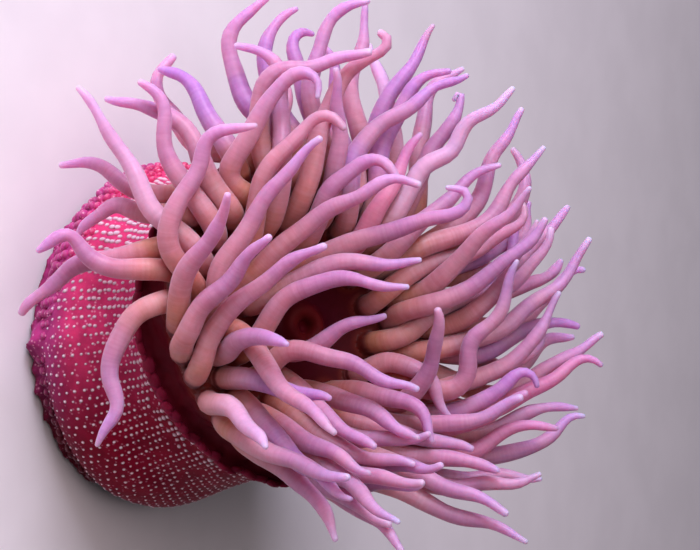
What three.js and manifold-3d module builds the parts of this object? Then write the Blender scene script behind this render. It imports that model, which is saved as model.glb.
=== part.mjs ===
// A white-spotted rose anemone at life size, in millimetres, +Z up.
// It stands on its pedal disc at z = 0. The column leans towards -Y as it rises,
// so the crown faces up and to the -Y side.
//
// Azimuths are measured round the column from +X towards +Y.
// The model is shown from a raised viewpoint on the -Y side with +Z pointing to the right.
// The tentacles' bends and tips are given as they show from there: mm to the right of the
// mouth, mm up from it, and mm towards the viewer from the tentacle's root.

import * as THREE from "three";
import Module from "manifold-3d";

const wasm = await Module();
wasm.setup();

const { clamp, degToRad, radToDeg, smoothstep } = THREE.MathUtils;

// ---- driving dimensions ----------------------------------------------------------------

const CROWN_HEIGHT = 86;          // along the spine, from the pedal disc to the oral disc
const BEND_STARTS = 26;           // distances along the spine between which it bends
const BEND_ENDS = 71;
const BEND = degToRad(27);
const BEND_RADIUS = (BEND_ENDS - BEND_STARTS) / BEND;
const BASE_OFFSET = 6;            // the pedal disc sits this far to +X of the crown

// [distance along the spine, radius]
const COLUMN_PROFILE = [
  [0, 47], [3, 50], [8, 54], [15, 56], [25, 54], [36, 50], [50, 47], [62, 46], [71, 47.5],
];
// [radius, height over the end of the spine] of the oral disc, from the mouth outwards
const DISC_PROFILE = [[0, -5], [8, -4.5], [17, -3], [28, 0.5], [36, 2.5], [43.5, 1.5], [47, -2]];
// [radius, height over the end of the spine] of the bare collar, from the column upwards
const COLLAR_PROFILE = [[48.5, -14.7], [50.5, -13.2], [47.5, -12.2], [45.2, -9.3]];

const CROWN_FLOOR = -9;           // underside of the tentacle blocks and of the oral disc
const CROWN_EDGE = 47;            // outer radius of the outermost blocks
const BARE_DISC = 17.5;           // radius without tentacles
const LIPS = 7;                   // outer radius of the lips
const LIP_SIDES = 10;
// [radius, height over the end of the spine] of the lips, from below to the mouth's bottom
const LIPS_PROFILE = [[LIPS, CROWN_FLOOR], [LIPS, -4.6], [4.8, -2.6], [2.5, -3.4], [0, -6]];
const LOBE_AZIMUTH = degToRad(225);
const LOBE_SHIFT = 0.06;          // how far the crown's outline is moved towards the lobe
const LOBE_STRETCH = 0.07;        // and how far it is stretched along it
const LOBE_FADE = [45, 85];       // spine distances between which the column takes it on

const GAP = 0.3;                  // clearance between neighbouring solids
const BODY_SIDES = 32;
const FINE_EDGE = 0.05;           // ridges lower than this are left out after a cut
const FRILLS = 16;                // scallops round the collar's edge
const FRILL_DEPTH = 0.7;

const TENTACLE = { footRadius: 2.3, sunk: 2, sides: 5, points: 25 };
// [share of a tentacle's length, radius]
const TENTACLE_PROFILE = [[0, 3.4], [0.3, 3.2], [0.55, 2.7], [0.75, 2.15], [0.92, 1.35], [1, 0.8]];
const [[, ROOT_RADIUS]] = TENTACLE_PROFILE;
const [[, TIP_RADIUS]] = TENTACLE_PROFILE.slice(-1);
const STRAIGHT_PIECES = 4;        // most that a tentacle's solid is made of, split at its bends
const BEND_MISSED = 1.3;          // a bend lower than this is not split at

// The four rings of tentacles, from the margin inwards.
const RINGS = [
  { name: "outer", radius: 43.5, band: [39.75, CROWN_EDGE], count: 36, turn: 0, steps: 1 },
  { name: "second", radius: 36, band: [32.25, 39.75], count: 30, turn: 0.5, steps: 1 },
  { name: "third", radius: 28.5, band: [25, 32.25], count: 20, turn: 0, steps: 2 },
  { name: "inner", radius: 21.5, band: [BARE_DISC, 25], count: 12, turn: 0.5, steps: 2 },
];
const PER_BLOCK = 2;              // tentacles that share one block of the crown
const BLOCK_SPLIT = 0.1;          // how much further in than its band a block starts

// ---- how the tentacles are held --------------------------------------------------------

const VIEW_HEIGHT = degToRad(32);
const VIEW_DISTANCE = 520;
const RIGHT = new THREE.Vector3(0, Math.sin(VIEW_HEIGHT), Math.cos(VIEW_HEIGHT));
const UP = new THREE.Vector3(-1, 0, 0);
const TOWARD = new THREE.Vector3(0, -Math.cos(VIEW_HEIGHT), Math.sin(VIEW_HEIGHT));
const MOUTH_SHOWN = [-11.4, -15.3];   // the mouth's place in the view, mm right and up

// One row for each tentacle that is held in a way of its own:
// its place in the ring, mm towards the viewer at the tip, then right and up of each bend
// and of the tip. The others fan out by themselves.
const POSES = {
  outer: [
    [0, 16, 20, -46, 37, -54, 65, -64],
    [1, 12, 47, -48, 69, -45],
    [2, 4, 32, -45, 69, -45],
    [3, 4, 47, -38, 56, -33, 68, -29, 74, -30],
    [4, -2, 47, -39, 65, -37, 73, -31, 77, -27, 82, -28],
    [5, -6, 47, -33, 65, -26, 74, -23, 80, -24],
    [6, -4, 50, -26, 68, -18, 79, -11, 84, -10, 87, -12],
    [7, -8, 55, -21, 80, -7, 88, -3],
    [8, -14, 62, -13, 71, -3, 79, -3],
    [9, -14, 62, 1, 78, 17, 82, 16],
    [10, -22, 67, 13, 75, 20],
    [11, -16, 58, 19, 65, 25, 70, 29, 72, 34, 76, 37],
    [12, -14, 56, 30, 63, 36, 65, 41, 63, 47, 60, 53],
    [13, -14, 35, 69, 45, 78],
    [14, -12, 20, 53, 27, 72, 38, 90],
    [15, -22, 21, 63, 19, 75, 17, 85],
    [16, -10, 9, 65, 11, 78, 15, 86, 16, 92, 15, 97],
    [17, -10, -2, 68, -4, 80, -6, 86, -2, 90, 1, 88],
    [18, -8, -10, 65, -14, 81, -13, 89, -9, 94, -4, 95],
    [19, -6, -21, 65, -25, 83, -24, 89, -19, 95, -13, 98],
    [20, -14, -34, 53, -47, 76, -41, 81],
    [21, -8, -31, 63, -40, 76, -46, 78],
    [22, -6, -49, 39, -60, 45, -67, 49, -71, 50, -76, 48],
    [23, -6, -53, 34, -60, 37, -64, 34, -70, 27],
    [24, -2, -56, 21, -71, 18, -77, 14, -87, 3],
    [25, 8, -61, 18, -69, 22, -73, 28, -77, 27, -83, 23],
    [26, 10, -53, 3, -61, -16, -58, -26, -65, -36],
    [27, 26, -39, 14, -30, 28, -25, 35, -25, 40],
    [28, 24, -34, 5, -22, 17, -13, 28],
    [29, 20, -30, -3, -20, 9, 4, 25],
    [30, 34, -25, -24, -19, -30, -14, -37],
  ],
  second: [
    [0, 22, 20, -40, 59, -56],
    [1, 16, 26, -37, 47, -38, 56, -43],
    [2, 6, 35, -31, 50, -27, 65, -20],
    [3, 8, 40, -27, 55, -21, 62, -13, 67, -15, 67, -19],
    [4, 2, 50, -14, 61, -10, 67, -2, 71, 5, 75, 10],
    [5, -12, 44, -18, 68, -5, 70, 1],
    [6, -10, 50, -8, 71, 2, 80, -1],
    [8, -10, 41, 2, 58, 18, 61, 31],
    [9, -22, 64, 26, 67, 36],
    [10, -8, 43, 30, 52, 40, 54, 52, 60, 58, 64, 65],
    [11, -6, 36, 53, 42, 62, 46, 68, 45, 72, 43, 67],
    [12, -4, 18, 51, 35, 76, 41, 77],
    [13, -14, 8, 56, 8, 75, 4, 84],
    [14, -2, -1, 68, 1, 81, 3, 88, 10, 95, 17, 98],
    [15, -6, -10, 50, -7, 62, -7, 73],
    [16, 6, -13, 62, -10, 75, -4, 78, 2, 76, 12, 82, 19, 82],
    [17, 14, -26, 44, -17, 60, -10, 73, -4, 76, 2, 73, 2, 68],
    [18, 4, -30, 41, -36, 55, -42, 63, -52, 65, -62, 69],
    [19, 9, -43, 50, -46, 68, -52, 74],
    [20, 4, -48, 32, -54, 45, -62, 60, -71, 71],
    [21, 12, -42, 24, -38, 40, -32, 49, -31, 56, -24, 60, -16, 60],
    [22, 12, -32, 15, -19, 32, -12, 43, -4, 51, 3, 56],
    [23, 30, -25, -4, -15, -2, -8, -6],
    [24, 30, -20, -15, -8, -18, 5, -22],
  ],
  third: [
    [2, 26, 26, -26, 35, -15, 38, -6, 37, 5],
    [3, 14, 43, -19, 47, -13, 47, -5, 55, 3, 59, 13, 62, 20],
    [4, -8, 44, -2, 59, 2, 65, 8, 75, 14, 80, 20, 83, 27],
    [7, -6, 52, 29, 58, 36, 60, 42, 65, 49, 70, 53],
    [8, 4, 34, 49, 41, 52, 46, 60, 54, 66, 61, 71],
    [9, 4, 9, 50, 35, 70, 46, 76],
    [11, 4, 5, 64, 9, 73, 19, 81, 24, 86, 20, 88],
    [12, 2, -12, 65, -11, 76, -15, 80, -22, 84, -25, 85],
    [13, 10, -15, 44, -4, 58, 4, 63, 10, 59],
    [14, 12, -7, 26, 11, 38, 26, 44, 33, 43],
    [16, 15, -7, 10, 12, 14, 29, 11],
    [17, 22, -7, -7, 5, -9, 32, -20],
  ],
  inner: [
    [0, 20, 17, -20, 33, -26, 37, -35],
    [1, 14, 23, -11, 33, -16, 41, -29],
    [2, -4, 35, 4, 53, 8, 64, 14, 70, 23, 71, 29],
    [3, 0, 32, 18, 50, 24, 59, 30, 63, 34, 62, 39],
    [4, -2, 35, 34, 45, 42, 50, 46, 56, 49],
    [5, 0, 14, 33, 31, 58],
    [6, 14, 2, 42, 11, 49, 20, 50, 25, 46],
    [7, 6, 20, 28, 36, 32, 46, 36, 48, 41, 45, 43, 40, 42],
    [8, 16, 5, 18, 33, 19],
    [9, 15, -4, -8, 11, 0, 22, 4],
  ],
};

// How the other tentacles fan out, in degrees of azimuth or turn and in mm.
const FAN = {
  wrap: 230, near: [225, 355],
  heading: -14, headingPerDegree: 0.45, headingSpread: 24,
  length: 48, lengthSpread: 18,
  tiltNear: 36, tiltFar: 14, tiltSpread: 16,
  stops: [0.5, 0.8, 1], bow: 0.9, bowMiddle: 0.4,
};
const SEEDS_PER_RING = 40;

// How a tentacle leaves the disc: how much of its way is straight out, how far it goes
// that way, and how much nearer to the viewer its middle is held, in mm.
const LEAVING = { straightOut: 0.75, length: 5.5, raised: 4 };

// How a tentacle wavers past a share of its length: mm at its tip, mm from one crest to the
// next, and how much more slowly it does so in depth.
const WAVER = { most: 0.9, length: 19, lengthSpread: 9, from: 0.2, inDepth: 0.7 };

// Tentacles are pushed apart until this much water lies between them. A tentacle is rooted
// over the first share of its length, and moves freely past the second.
const SPACING = { gap: 0.5, rounds: 200, sideways: 0.6, freeFrom: 0.02, freeOver: 0.15 };
const ROOTED = 0.12;              // share of a tentacle's length that may touch the disc
const RIM_DEPTH = -2;             // a tentacle lower than this is beside the crown, not on it
const CELLS = 1024;               // cells each way in the search for close points
const EVEN_SPLIT = 0.02;          // mm a bend may be missed by to keep a tube's pieces even

// ---- small helpers ---------------------------------------------------------------------

/** A number from 0 to 1 that looks random but is always the same for the same two inputs. */
function scatter(index, channel) {
  const value = Math.sin(index * 12.9898 + channel * 78.233) * 43758.5453;
  return value - Math.floor(value);
}

/** Straight-line interpolation in a table of [x, y] rows. */
function follow(table, x) {
  if (x <= table[0][0]) return table[0][1];
  for (let i = 1; i < table.length; i += 1) {
    const [x0, y0] = table[i - 1];
    const [x1, y1] = table[i];
    if (x <= x1) return y0 + ((y1 - y0) * (x - x0)) / (x1 - x0);
  }
  return table[table.length - 1][1];
}

/** The crown's outline: 1 for a circle, more towards the lobe. */
function lobe(azimuth) {
  const from = azimuth - LOBE_AZIMUTH;
  return 1 + LOBE_SHIFT * Math.cos(from) + LOBE_STRETCH * Math.cos(2 * from);
}

// ---- the spine and the surfaces round it ------------------------------------------------

/** The centre, far-side direction and axis of the body at a distance along its spine. */
function spineAt(distance) {
  const bent = clamp(distance, BEND_STARTS, BEND_ENDS);
  const angle = (bent - BEND_STARTS) / BEND_RADIUS;
  const far = new THREE.Vector3(0, Math.cos(angle), Math.sin(angle));
  const axis = new THREE.Vector3(0, -Math.sin(angle), Math.cos(angle));
  const shift = BASE_OFFSET * (1 - distance / CROWN_HEIGHT);
  const centre = new THREE.Vector3(
    shift,
    -BEND_RADIUS * (1 - Math.cos(angle)),
    BEND_STARTS + BEND_RADIUS * Math.sin(angle),
  ).addScaledVector(axis, distance - bent);
  return { centre, far, axis };
}

const CROWN = spineAt(CROWN_HEIGHT);

/** A point of the crown from its azimuth, radius and height over the end of the spine. */
function crownPoint(azimuth, radius, height) {
  return CROWN.centre.clone()
    .addScaledVector(new THREE.Vector3(1, 0, 0), radius * Math.cos(azimuth))
    .addScaledVector(CROWN.far, radius * Math.sin(azimuth))
    .addScaledVector(CROWN.axis, height);
}

/** The column's radius at a spine distance and azimuth. */
function columnRadius(distance, azimuth) {
  const share = smoothstep(distance, ...LOBE_FADE);
  return follow(COLUMN_PROFILE, distance) * (1 + (lobe(azimuth) - 1) * share);
}

/** Where a point lies by the spine: distance along it, radius, azimuth, way outwards. */
function bySpine(point) {
  const y = point.y + BEND_RADIUS;
  const z = point.z - BEND_STARTS;
  const angle = clamp(Math.atan2(z, y), 0, BEND);
  const bent = BEND_STARTS + BEND_RADIUS * angle;
  const { centre, far, axis } = spineAt(bent);
  const from = point.clone().sub(centre);
  const distance = bent + from.dot(axis);
  const side = point.x - BASE_OFFSET * (1 - distance / CROWN_HEIGHT);
  const across = from.dot(far);
  const radius = Math.hypot(side, across);
  const outwards = new THREE.Vector3(side, 0, 0)
    .addScaledVector(far, across)
    .divideScalar(Math.max(radius, 1e-6));
  return { distance, radius, azimuth: Math.atan2(across, side), outwards };
}

// ---- solids ----------------------------------------------------------------------------

/** A closed solid from rings of equally many points, with a point at each end. */
function solidFromRings(rings, start, end) {
  const sides = rings[0].length;
  const points = [...rings.flat(), start, end];
  const startIndex = rings.length * sides;
  const triangles = [];
  for (let k = 0; k < sides; k += 1) {
    const next = (k + 1) % sides;
    triangles.push(startIndex, next, k);
    for (let i = 0; i + 1 < rings.length; i += 1) {
      const a = i * sides + k;
      const b = i * sides + next;
      triangles.push(a, b, b + sides, a, b + sides, a + sides);
    }
    const last = (rings.length - 1) * sides;
    triangles.push(last + k, last + next, startIndex + 1);
  }
  return toManifold(points, triangles);
}

/** A closed solid from four-cornered sections one after another. */
function solidFromSections(sections) {
  const triangles = [2, 1, 0, 3, 2, 0];
  for (let i = 0; i + 1 < sections.length; i += 1) {
    for (let k = 0; k < 4; k += 1) {
      const a = i * 4 + k;
      const b = i * 4 + ((k + 1) % 4);
      triangles.push(a, b, b + 4, a, b + 4, a + 4);
    }
  }
  const last = (sections.length - 1) * 4;
  triangles.push(last, last + 1, last + 2, last, last + 2, last + 3);
  return toManifold(sections.flat(), triangles);
}

function toManifold(points, triangles) {
  const vertProperties = new Float32Array(points.flatMap((point) => point.toArray()));
  const triVerts = new Uint32Array(triangles);
  const solid = new wasm.Manifold(new wasm.Mesh({ numProp: 3, vertProperties, triVerts }));
  if (solid.volume() > 0) return solid;
  const turned = [];
  for (let i = 0; i < triangles.length; i += 3) {
    turned.push(triangles[i], triangles[i + 2], triangles[i + 1]);
  }
  const mesh = new wasm.Mesh({ numProp: 3, vertProperties, triVerts: new Uint32Array(turned) });
  return new wasm.Manifold(mesh);
}

/** A round of points: pointAt(azimuth) for each side. */
function ringOf(sides, pointAt) {
  return Array.from({ length: sides }, (_, k) => pointAt((2 * Math.PI * k) / sides));
}

/** A length of the column between two distances along the spine. */
function columnLength(from, to, levels) {
  const rings = levels.map((distance) => {
    const { centre, far } = spineAt(distance);
    return ringOf(BODY_SIDES, (azimuth) => {
      const radius = columnRadius(distance, azimuth);
      return centre.clone()
        .addScaledVector(new THREE.Vector3(1, 0, 0), radius * Math.cos(azimuth))
        .addScaledVector(far, radius * Math.sin(azimuth));
    });
  });
  return solidFromRings(rings, spineAt(from).centre, spineAt(to).centre);
}

/** A round slab of the crown, from [radius, height] rows read from below upwards. */
function crownSlab(rows, sides, outline) {
  const rings = rows.map(([radius, height]) => ringOf(
    sides,
    (azimuth) => crownPoint(azimuth, radius * outline(azimuth, height), height),
  ));
  const [, bottom] = rows[0];
  const [, top] = rows[rows.length - 1];
  return solidFromRings(rings, crownPoint(0, 0, bottom), crownPoint(0, 0, top));
}

/** The bare collar, with scallops round its edge. */
function collar() {
  const [, edge] = COLLAR_PROFILE[1];
  const scalloped = (azimuth, height) => {
    const wave = height === edge ? (FRILL_DEPTH / CROWN_EDGE) * Math.cos(FRILLS * azimuth) : 0;
    return lobe(azimuth) + wave;
  };
  return crownSlab(COLLAR_PROFILE, BODY_SIDES, scalloped);
}

/** The bare part of the oral disc, with the lips' place cut out of its middle. */
function oralDisc() {
  const radius = BARE_DISC - GAP;
  const rows = [
    [radius, CROWN_FLOOR],
    [radius, follow(DISC_PROFILE, radius)],
    [LIPS, follow(DISC_PROFILE, LIPS)],
  ];
  const cutter = crownSlab([[LIPS + GAP, CROWN_FLOOR - 1], [LIPS + GAP, 1]], LIP_SIDES, () => 1);
  return crownSlab(rows, 2 * LIP_SIDES, lobe).subtract(cutter);
}

/** The lips, two soft rolls round a shallow mouth. */
function mouth() {
  const rows = LIPS_PROFILE.slice(0, -1);
  const [, bottom] = LIPS_PROFILE[LIPS_PROFILE.length - 1];
  const rings = rows.map(([radius, height]) => ringOf(
    LIP_SIDES,
    (azimuth) => crownPoint(azimuth, radius, height),
  ));
  return solidFromRings(rings, crownPoint(0, 0, CROWN_FLOOR), crownPoint(0, 0, bottom));
}

/** A block of the crown under neighbouring tentacles of one ring. */
function crownBlock(ring, first, count, grow) {
  const [inner, outer] = ring.band;
  const step = (2 * Math.PI) / ring.count;
  const side = GAP / 2 - grow;
  const from = (first + ring.turn - 0.5) * step;
  const steps = count * ring.steps;
  const sections = [];
  for (let i = 0; i <= steps; i += 1) {
    const edge = i === 0 ? side : i === steps ? -side : 0;
    const azimuth = from + (i * step) / ring.steps + edge / ring.radius;
    const r0 = (inner + side + BLOCK_SPLIT) * lobe(azimuth);
    const r1 = (outer - side) * lobe(azimuth);
    sections.push([
      crownPoint(azimuth, r0, CROWN_FLOOR - grow),
      crownPoint(azimuth, r1, CROWN_FLOOR - grow),
      crownPoint(azimuth, r1, follow(DISC_PROFILE, outer) + grow),
      crownPoint(azimuth, r0, follow(DISC_PROFILE, inner) + grow),
    ]);
  }
  return solidFromSections(sections);
}

// ---- tentacle centrelines --------------------------------------------------------------

/** The middle of a tentacle's root on the oral disc, and the way out of the disc there. */
function rootOf(ring, place) {
  const azimuth = ((place + ring.turn) * 2 * Math.PI) / ring.count;
  const rise = (follow(DISC_PROFILE, ring.radius + 1) - follow(DISC_PROFILE, ring.radius - 1)) / 2;
  const point = crownPoint(azimuth, ring.radius * lobe(azimuth), follow(DISC_PROFILE, ring.radius));
  const outwards = crownPoint(azimuth, 1, 0).sub(CROWN.centre);
  const normal = CROWN.axis.clone().addScaledVector(outwards, -rise).normalize();
  return { point, normal, azimuth };
}

const AIM = CROWN.centre.clone()
  .addScaledVector(RIGHT, -MOUTH_SHOWN[0])
  .addScaledVector(UP, -MOUTH_SHOWN[1]);

/** The point that shows right and up of the mouth, at a depth towards the viewer. */
function shownAt(right, up, depth) {
  const scale = 1 - depth / VIEW_DISTANCE;
  return AIM.clone()
    .addScaledVector(RIGHT, scale * (MOUTH_SHOWN[0] + right))
    .addScaledVector(UP, scale * (MOUTH_SHOWN[1] + up))
    .addScaledVector(TOWARD, depth);
}

function depthOf(point) {
  return point.clone().sub(AIM).dot(TOWARD);
}

/** How far right and up of the mouth a point shows. */
function placeShown(point) {
  const from = point.clone().sub(AIM);
  const scale = 1 - from.dot(TOWARD) / VIEW_DISTANCE;
  return [from.dot(RIGHT) / scale - MOUTH_SHOWN[0], from.dot(UP) / scale - MOUTH_SHOWN[1]];
}

/** The bends and tip of a tentacle without a row of its own. */
function fannedOut(ringIndex, place, root) {
  const index = ringIndex * SEEDS_PER_RING + place;
  const turn = radToDeg(root.azimuth);
  const signed = turn < FAN.wrap ? turn : turn - 360;
  const heading = FAN.heading + FAN.headingPerDegree * signed
    + FAN.headingSpread * (scatter(index, 0) - 0.5);
  const length = FAN.length + FAN.lengthSpread * scatter(index, 1);
  const isNear = turn > FAN.near[0] && turn < FAN.near[1];
  const tiltSpread = FAN.tiltSpread * (scatter(index, 3) - 0.5);
  const tilt = degToRad((isNear ? FAN.tiltNear : FAN.tiltFar) + tiltSpread);
  const bow = FAN.bow * (scatter(index, 2) - FAN.bowMiddle);
  const [right, up] = placeShown(root.point);
  const bends = FAN.stops.map((share) => {
    const way = degToRad(heading) + bow * (share - 0.5);
    const reach = length * Math.cos(tilt) * share;
    return [right + reach * Math.cos(way), up + reach * Math.sin(way)];
  });
  return { bends, toward: length * Math.sin(tilt) };
}

/** The bends and tip of a tentacle from its row in the table. */
function held(row) {
  const [, toward, ...places] = row;
  const bends = [];
  for (let i = 0; i < places.length; i += 2) bends.push([places[i], places[i + 1]]);
  return { bends, toward };
}

/** The middle line of one tentacle before the tentacles are pushed apart. */
function middleLine(ringIndex, place) {
  const ring = RINGS[ringIndex];
  const root = rootOf(ring, place);
  const row = POSES[ring.name].find(([where]) => where === place);
  const { bends, toward } = row ? held(row) : fannedOut(ringIndex, place, root);
  const path = [placeShown(root.point), ...bends];
  const along = [0];
  for (let i = 1; i < path.length; i += 1) {
    const step = Math.hypot(path[i][0] - path[i - 1][0], path[i][1] - path[i - 1][1]);
    along.push(along[i - 1] + step);
  }
  const whole = along[along.length - 1];
  const rootDepth = depthOf(root.point);
  const stops = bends.map(([right, up], i) => {
    const share = along[i + 1] / whole;
    return shownAt(right, up, rootDepth + LEAVING.raised * (1 - share) + toward * share);
  });
  const leaving = stops[0].clone().sub(root.point).normalize()
    .addScaledVector(root.normal, LEAVING.straightOut).normalize();
  const curve = new THREE.CatmullRomCurve3([
    root.point.clone().addScaledVector(root.normal, -TENTACLE.sunk),
    root.point.clone().addScaledVector(leaving, LEAVING.length),
    ...stops,
  ], false, "centripetal");
  const line = smoothed(curve.getSpacedPoints(TENTACLE.points - 1), 2);
  return wavering(line, ringIndex * SEEDS_PER_RING + place);
}

/** Makes a line waver from side to side and in depth, more towards its tip. */
function wavering(line, index) {
  const length = WAVER.length + WAVER.lengthSpread * scatter(index, 11);
  const waves = line[0].distanceTo(line[1]) / length;
  const last = line.length - 1;
  return line.map((point, i) => {
    const most = WAVER.most * smoothstep(i / last, WAVER.from, 1);
    const way = line[Math.min(i + 1, last)].clone().sub(line[Math.max(i - 1, 0)]);
    const sideways = way.cross(TOWARD).normalize();
    const turn = 2 * Math.PI * (i * waves + scatter(index, 12));
    return point.clone()
      .addScaledVector(sideways, most * Math.sin(turn))
      .addScaledVector(TOWARD, most * Math.sin(WAVER.inDepth * turn));
  });
}

/** Rounds the bends of a line of points, keeping its first two and its last. */
function smoothed(points, times) {
  let line = points;
  for (let n = 0; n < times; n += 1) {
    line = line.map((point, i) => {
      if (i < 2 || i === line.length - 1) return point;
      return line[i - 1].clone().add(line[i + 1]).addScaledVector(point, 2).divideScalar(4);
    });
  }
  return line;
}

function tentacleRadius(share) {
  return follow(TENTACLE_PROFILE, share);
}

// ---- pushing the tentacles apart ---------------------------------------------------------

/** How freely a point of a tentacle may move: not at all at the root. */
function freedom(share) {
  return clamp((share - SPACING.freeFrom) / SPACING.freeOver, 0, 1);
}

/** The way to move two points apart, mostly in depth so that the pose shows unchanged. */
function eased(way) {
  const right = way.dot(RIGHT) * SPACING.sideways;
  const up = way.dot(UP) * SPACING.sideways;
  const toward = way.dot(TOWARD);
  return new THREE.Vector3()
    .addScaledVector(RIGHT, right)
    .addScaledVector(UP, up)
    .addScaledVector(TOWARD, toward)
    .normalize();
}

/** The move that takes a tentacle's point out of the column, the disc or the floor. */
function outOfBody(point, radius, share) {
  const move = new THREE.Vector3();
  if (share < ROOTED) return move;
  const { distance, radius: far, azimuth, outwards } = bySpine(point);
  const clear = radius + SPACING.gap;
  if (distance > CROWN_HEIGHT + CROWN_FLOOR) {
    const height = distance - CROWN_HEIGHT;
    const edge = CROWN_EDGE * lobe(azimuth);
    const lowest = follow(DISC_PROFILE, far / lobe(azimuth)) + clear;
    if (far < edge && height < lowest) move.addScaledVector(CROWN.axis, lowest - height);
    else if (height < RIM_DEPTH && far < edge + clear) {
      move.addScaledVector(outwards, edge + clear - far);
    }
  } else {
    const least = columnRadius(distance, azimuth) + clear;
    if (far < least) move.addScaledVector(outwards, least - far);
  }
  if (point.z < clear) move.z += clear - point.z;
  return move;
}

/** Pushes tentacles apart where they would touch, and out of the body. */
function spaced(lines) {
  const count = TENTACLE.points;
  const shares = Array.from({ length: count }, (_, i) => i / (count - 1));
  const radii = shares.map(tentacleRadius);
  const reach = 2 * ROOT_RADIUS + SPACING.gap;
  const rest = lines.flat();
  let moved = rest.map(() => new THREE.Vector3());
  let points = rest.map((point) => point.clone());
  for (let round = 0; round < SPACING.rounds; round += 1) {
    const pushes = points.map(() => new THREE.Vector3());
    const hits = new Float64Array(points.length);
    for (const [i, j] of closePairs(points, reach, count)) {
      const between = points[i].clone().sub(points[j]);
      const over = radii[i % count] + radii[j % count] + SPACING.gap - between.length();
      if (over <= 0) continue;
      const push = eased(between.normalize()).multiplyScalar(over * 0.5);
      pushes[i].add(push);
      pushes[j].sub(push);
      hits[i] += 1;
      hits[j] += 1;
    }
    moved = moved.map((shift, i) => {
      const share = shares[i % count];
      const step = pushes[i].divideScalar(Math.sqrt(Math.max(1, hits[i])));
      step.add(outOfBody(points[i], radii[i % count], share));
      return shift.clone().addScaledVector(step, freedom(share));
    });
    moved = evened(moved, count);
    points = rest.map((point, i) => point.clone().add(moved[i]));
  }
  return lines.map((_, n) => points.slice(n * count, (n + 1) * count));
}

/** Spreads each move to the points next to it on the same tentacle. */
function evened(moves, count) {
  return moves.map((move, i) => {
    const place = i % count;
    if (place === 0) return move;
    const next = place === count - 1 ? moves[i - 1] : moves[i + 1];
    const middle = moves[i - 1].clone().add(next).multiplyScalar(0.5);
    return move.clone().lerp(middle, 0.5);
  });
}

/** Pairs of points on different tentacles that are closer than reach. */
function closePairs(points, reach, count) {
  const cells = new Map();
  const key = (x, y, z) => (x * CELLS + y) * CELLS + z;
  const cellOf = (value) => Math.floor(value / reach) + CELLS / 2;
  points.forEach((point, i) => {
    const at = key(cellOf(point.x), cellOf(point.y), cellOf(point.z));
    if (!cells.has(at)) cells.set(at, []);
    cells.get(at).push(i);
  });
  const pairs = [];
  points.forEach((point, i) => {
    const [x, y, z] = [cellOf(point.x), cellOf(point.y), cellOf(point.z)];
    for (let n = 0; n < 27; n += 1) {
      const at = key(x + (n % 3) - 1, y + (Math.floor(n / 3) % 3) - 1, z + Math.floor(n / 9) - 1);
      for (const j of cells.get(at) ?? []) {
        const apart = Math.floor(i / count) !== Math.floor(j / count);
        if (j > i && apart && point.distanceTo(points[j]) < reach) pairs.push([i, j]);
      }
    }
  });
  return pairs;
}

// ---- tentacle solids -------------------------------------------------------------------

/** The points of a line that keep its bends best when only a few are kept. */
function keyPoints(line) {
  const kept = [0, line.length - 1];
  while (kept.length <= STRAIGHT_PIECES) {
    let worst = { away: -1 };
    for (let n = 0; n + 1 < kept.length; n += 1) {
      const chord = new THREE.Line3(line[kept[n]], line[kept[n + 1]]);
      for (let i = kept[n] + 2; i < kept[n + 1] - 1; i += 1) {
        const nearest = chord.closestPointToPoint(line[i], true, new THREE.Vector3());
        const away = nearest.distanceTo(line[i])
          + EVEN_SPLIT * Math.min(i - kept[n], kept[n + 1] - i);
        if (away > worst.away) worst = { away, i, n };
      }
    }
    if (worst.away < BEND_MISSED) break;
    kept.splice(worst.n + 1, 0, worst.i);
  }
  return kept;
}

/** A tapering tube with a blunt tip along a middle line. */
function tentacle(line, grow) {
  const kept = keyPoints(line);
  const stops = kept.map((i) => line[i]);
  const last = stops.length - 1;
  const end = stops[last].clone().sub(stops[last - 1]).setLength(TIP_RADIUS / 2);
  let side = new THREE.Vector3(0, 0, 1);
  const rings = stops.map((centre, i) => {
    const before = stops[Math.max(i - 1, 0)];
    const way = stops[Math.min(i + 1, last)].clone().sub(before).normalize();
    side = side.clone().addScaledVector(way, -side.dot(way)).normalize();
    const across = way.clone().cross(side);
    const share = kept[i] / (line.length - 1);
    const radius = (i === 0 ? TENTACLE.footRadius : tentacleRadius(share)) + grow;
    return ringOf(TENTACLE.sides, (turn) => centre.clone()
      .addScaledVector(side, radius * Math.cos(turn))
      .addScaledVector(across, radius * Math.sin(turn)));
  });
  return solidFromRings(rings, stops[0], stops[last].clone().add(end));
}

// ---- putting it together ---------------------------------------------------------------

const MATERIALS = {
  foot: { color: 0x7a1428, roughness: 0.6 },
  column: { color: 0xc22a55, roughness: 0.5 },
  collar: { color: 0x6a1024, roughness: 0.55 },
  disc: { color: 0x5a0c1c, roughness: 0.45 },
  lips: { color: 0x8a2a2a, roughness: 0.45 },
  tentacle: { color: 0xd28ca6, roughness: 0.4 },
};

const group = new THREE.Group();

function addMesh(name, look, solid) {
  const { vertProperties, triVerts } = solid.getMesh();
  const geometry = new THREE.BufferGeometry();
  geometry.setAttribute("position", new THREE.BufferAttribute(vertProperties, 3));
  geometry.setIndex(new THREE.BufferAttribute(triVerts, 1));
  geometry.computeVertexNormals();
  const material = new THREE.MeshStandardMaterial({ ...MATERIALS[look], metalness: 0 });
  const mesh = new THREE.Mesh(geometry, material);
  mesh.name = name;
  group.add(mesh);
}

/** The largest separate body of a solid. */
function largest(solid) {
  const bodies = solid.decompose();
  return bodies.reduce((best, body) => (body.volume() > best.volume() ? body : best));
}

function boxesMeet(a, b) {
  const [p, q] = [a.boundingBox(), b.boundingBox()];
  return [0, 1, 2].every((k) => p.min[k] < q.max[k] && q.min[k] < p.max[k]);
}

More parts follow.
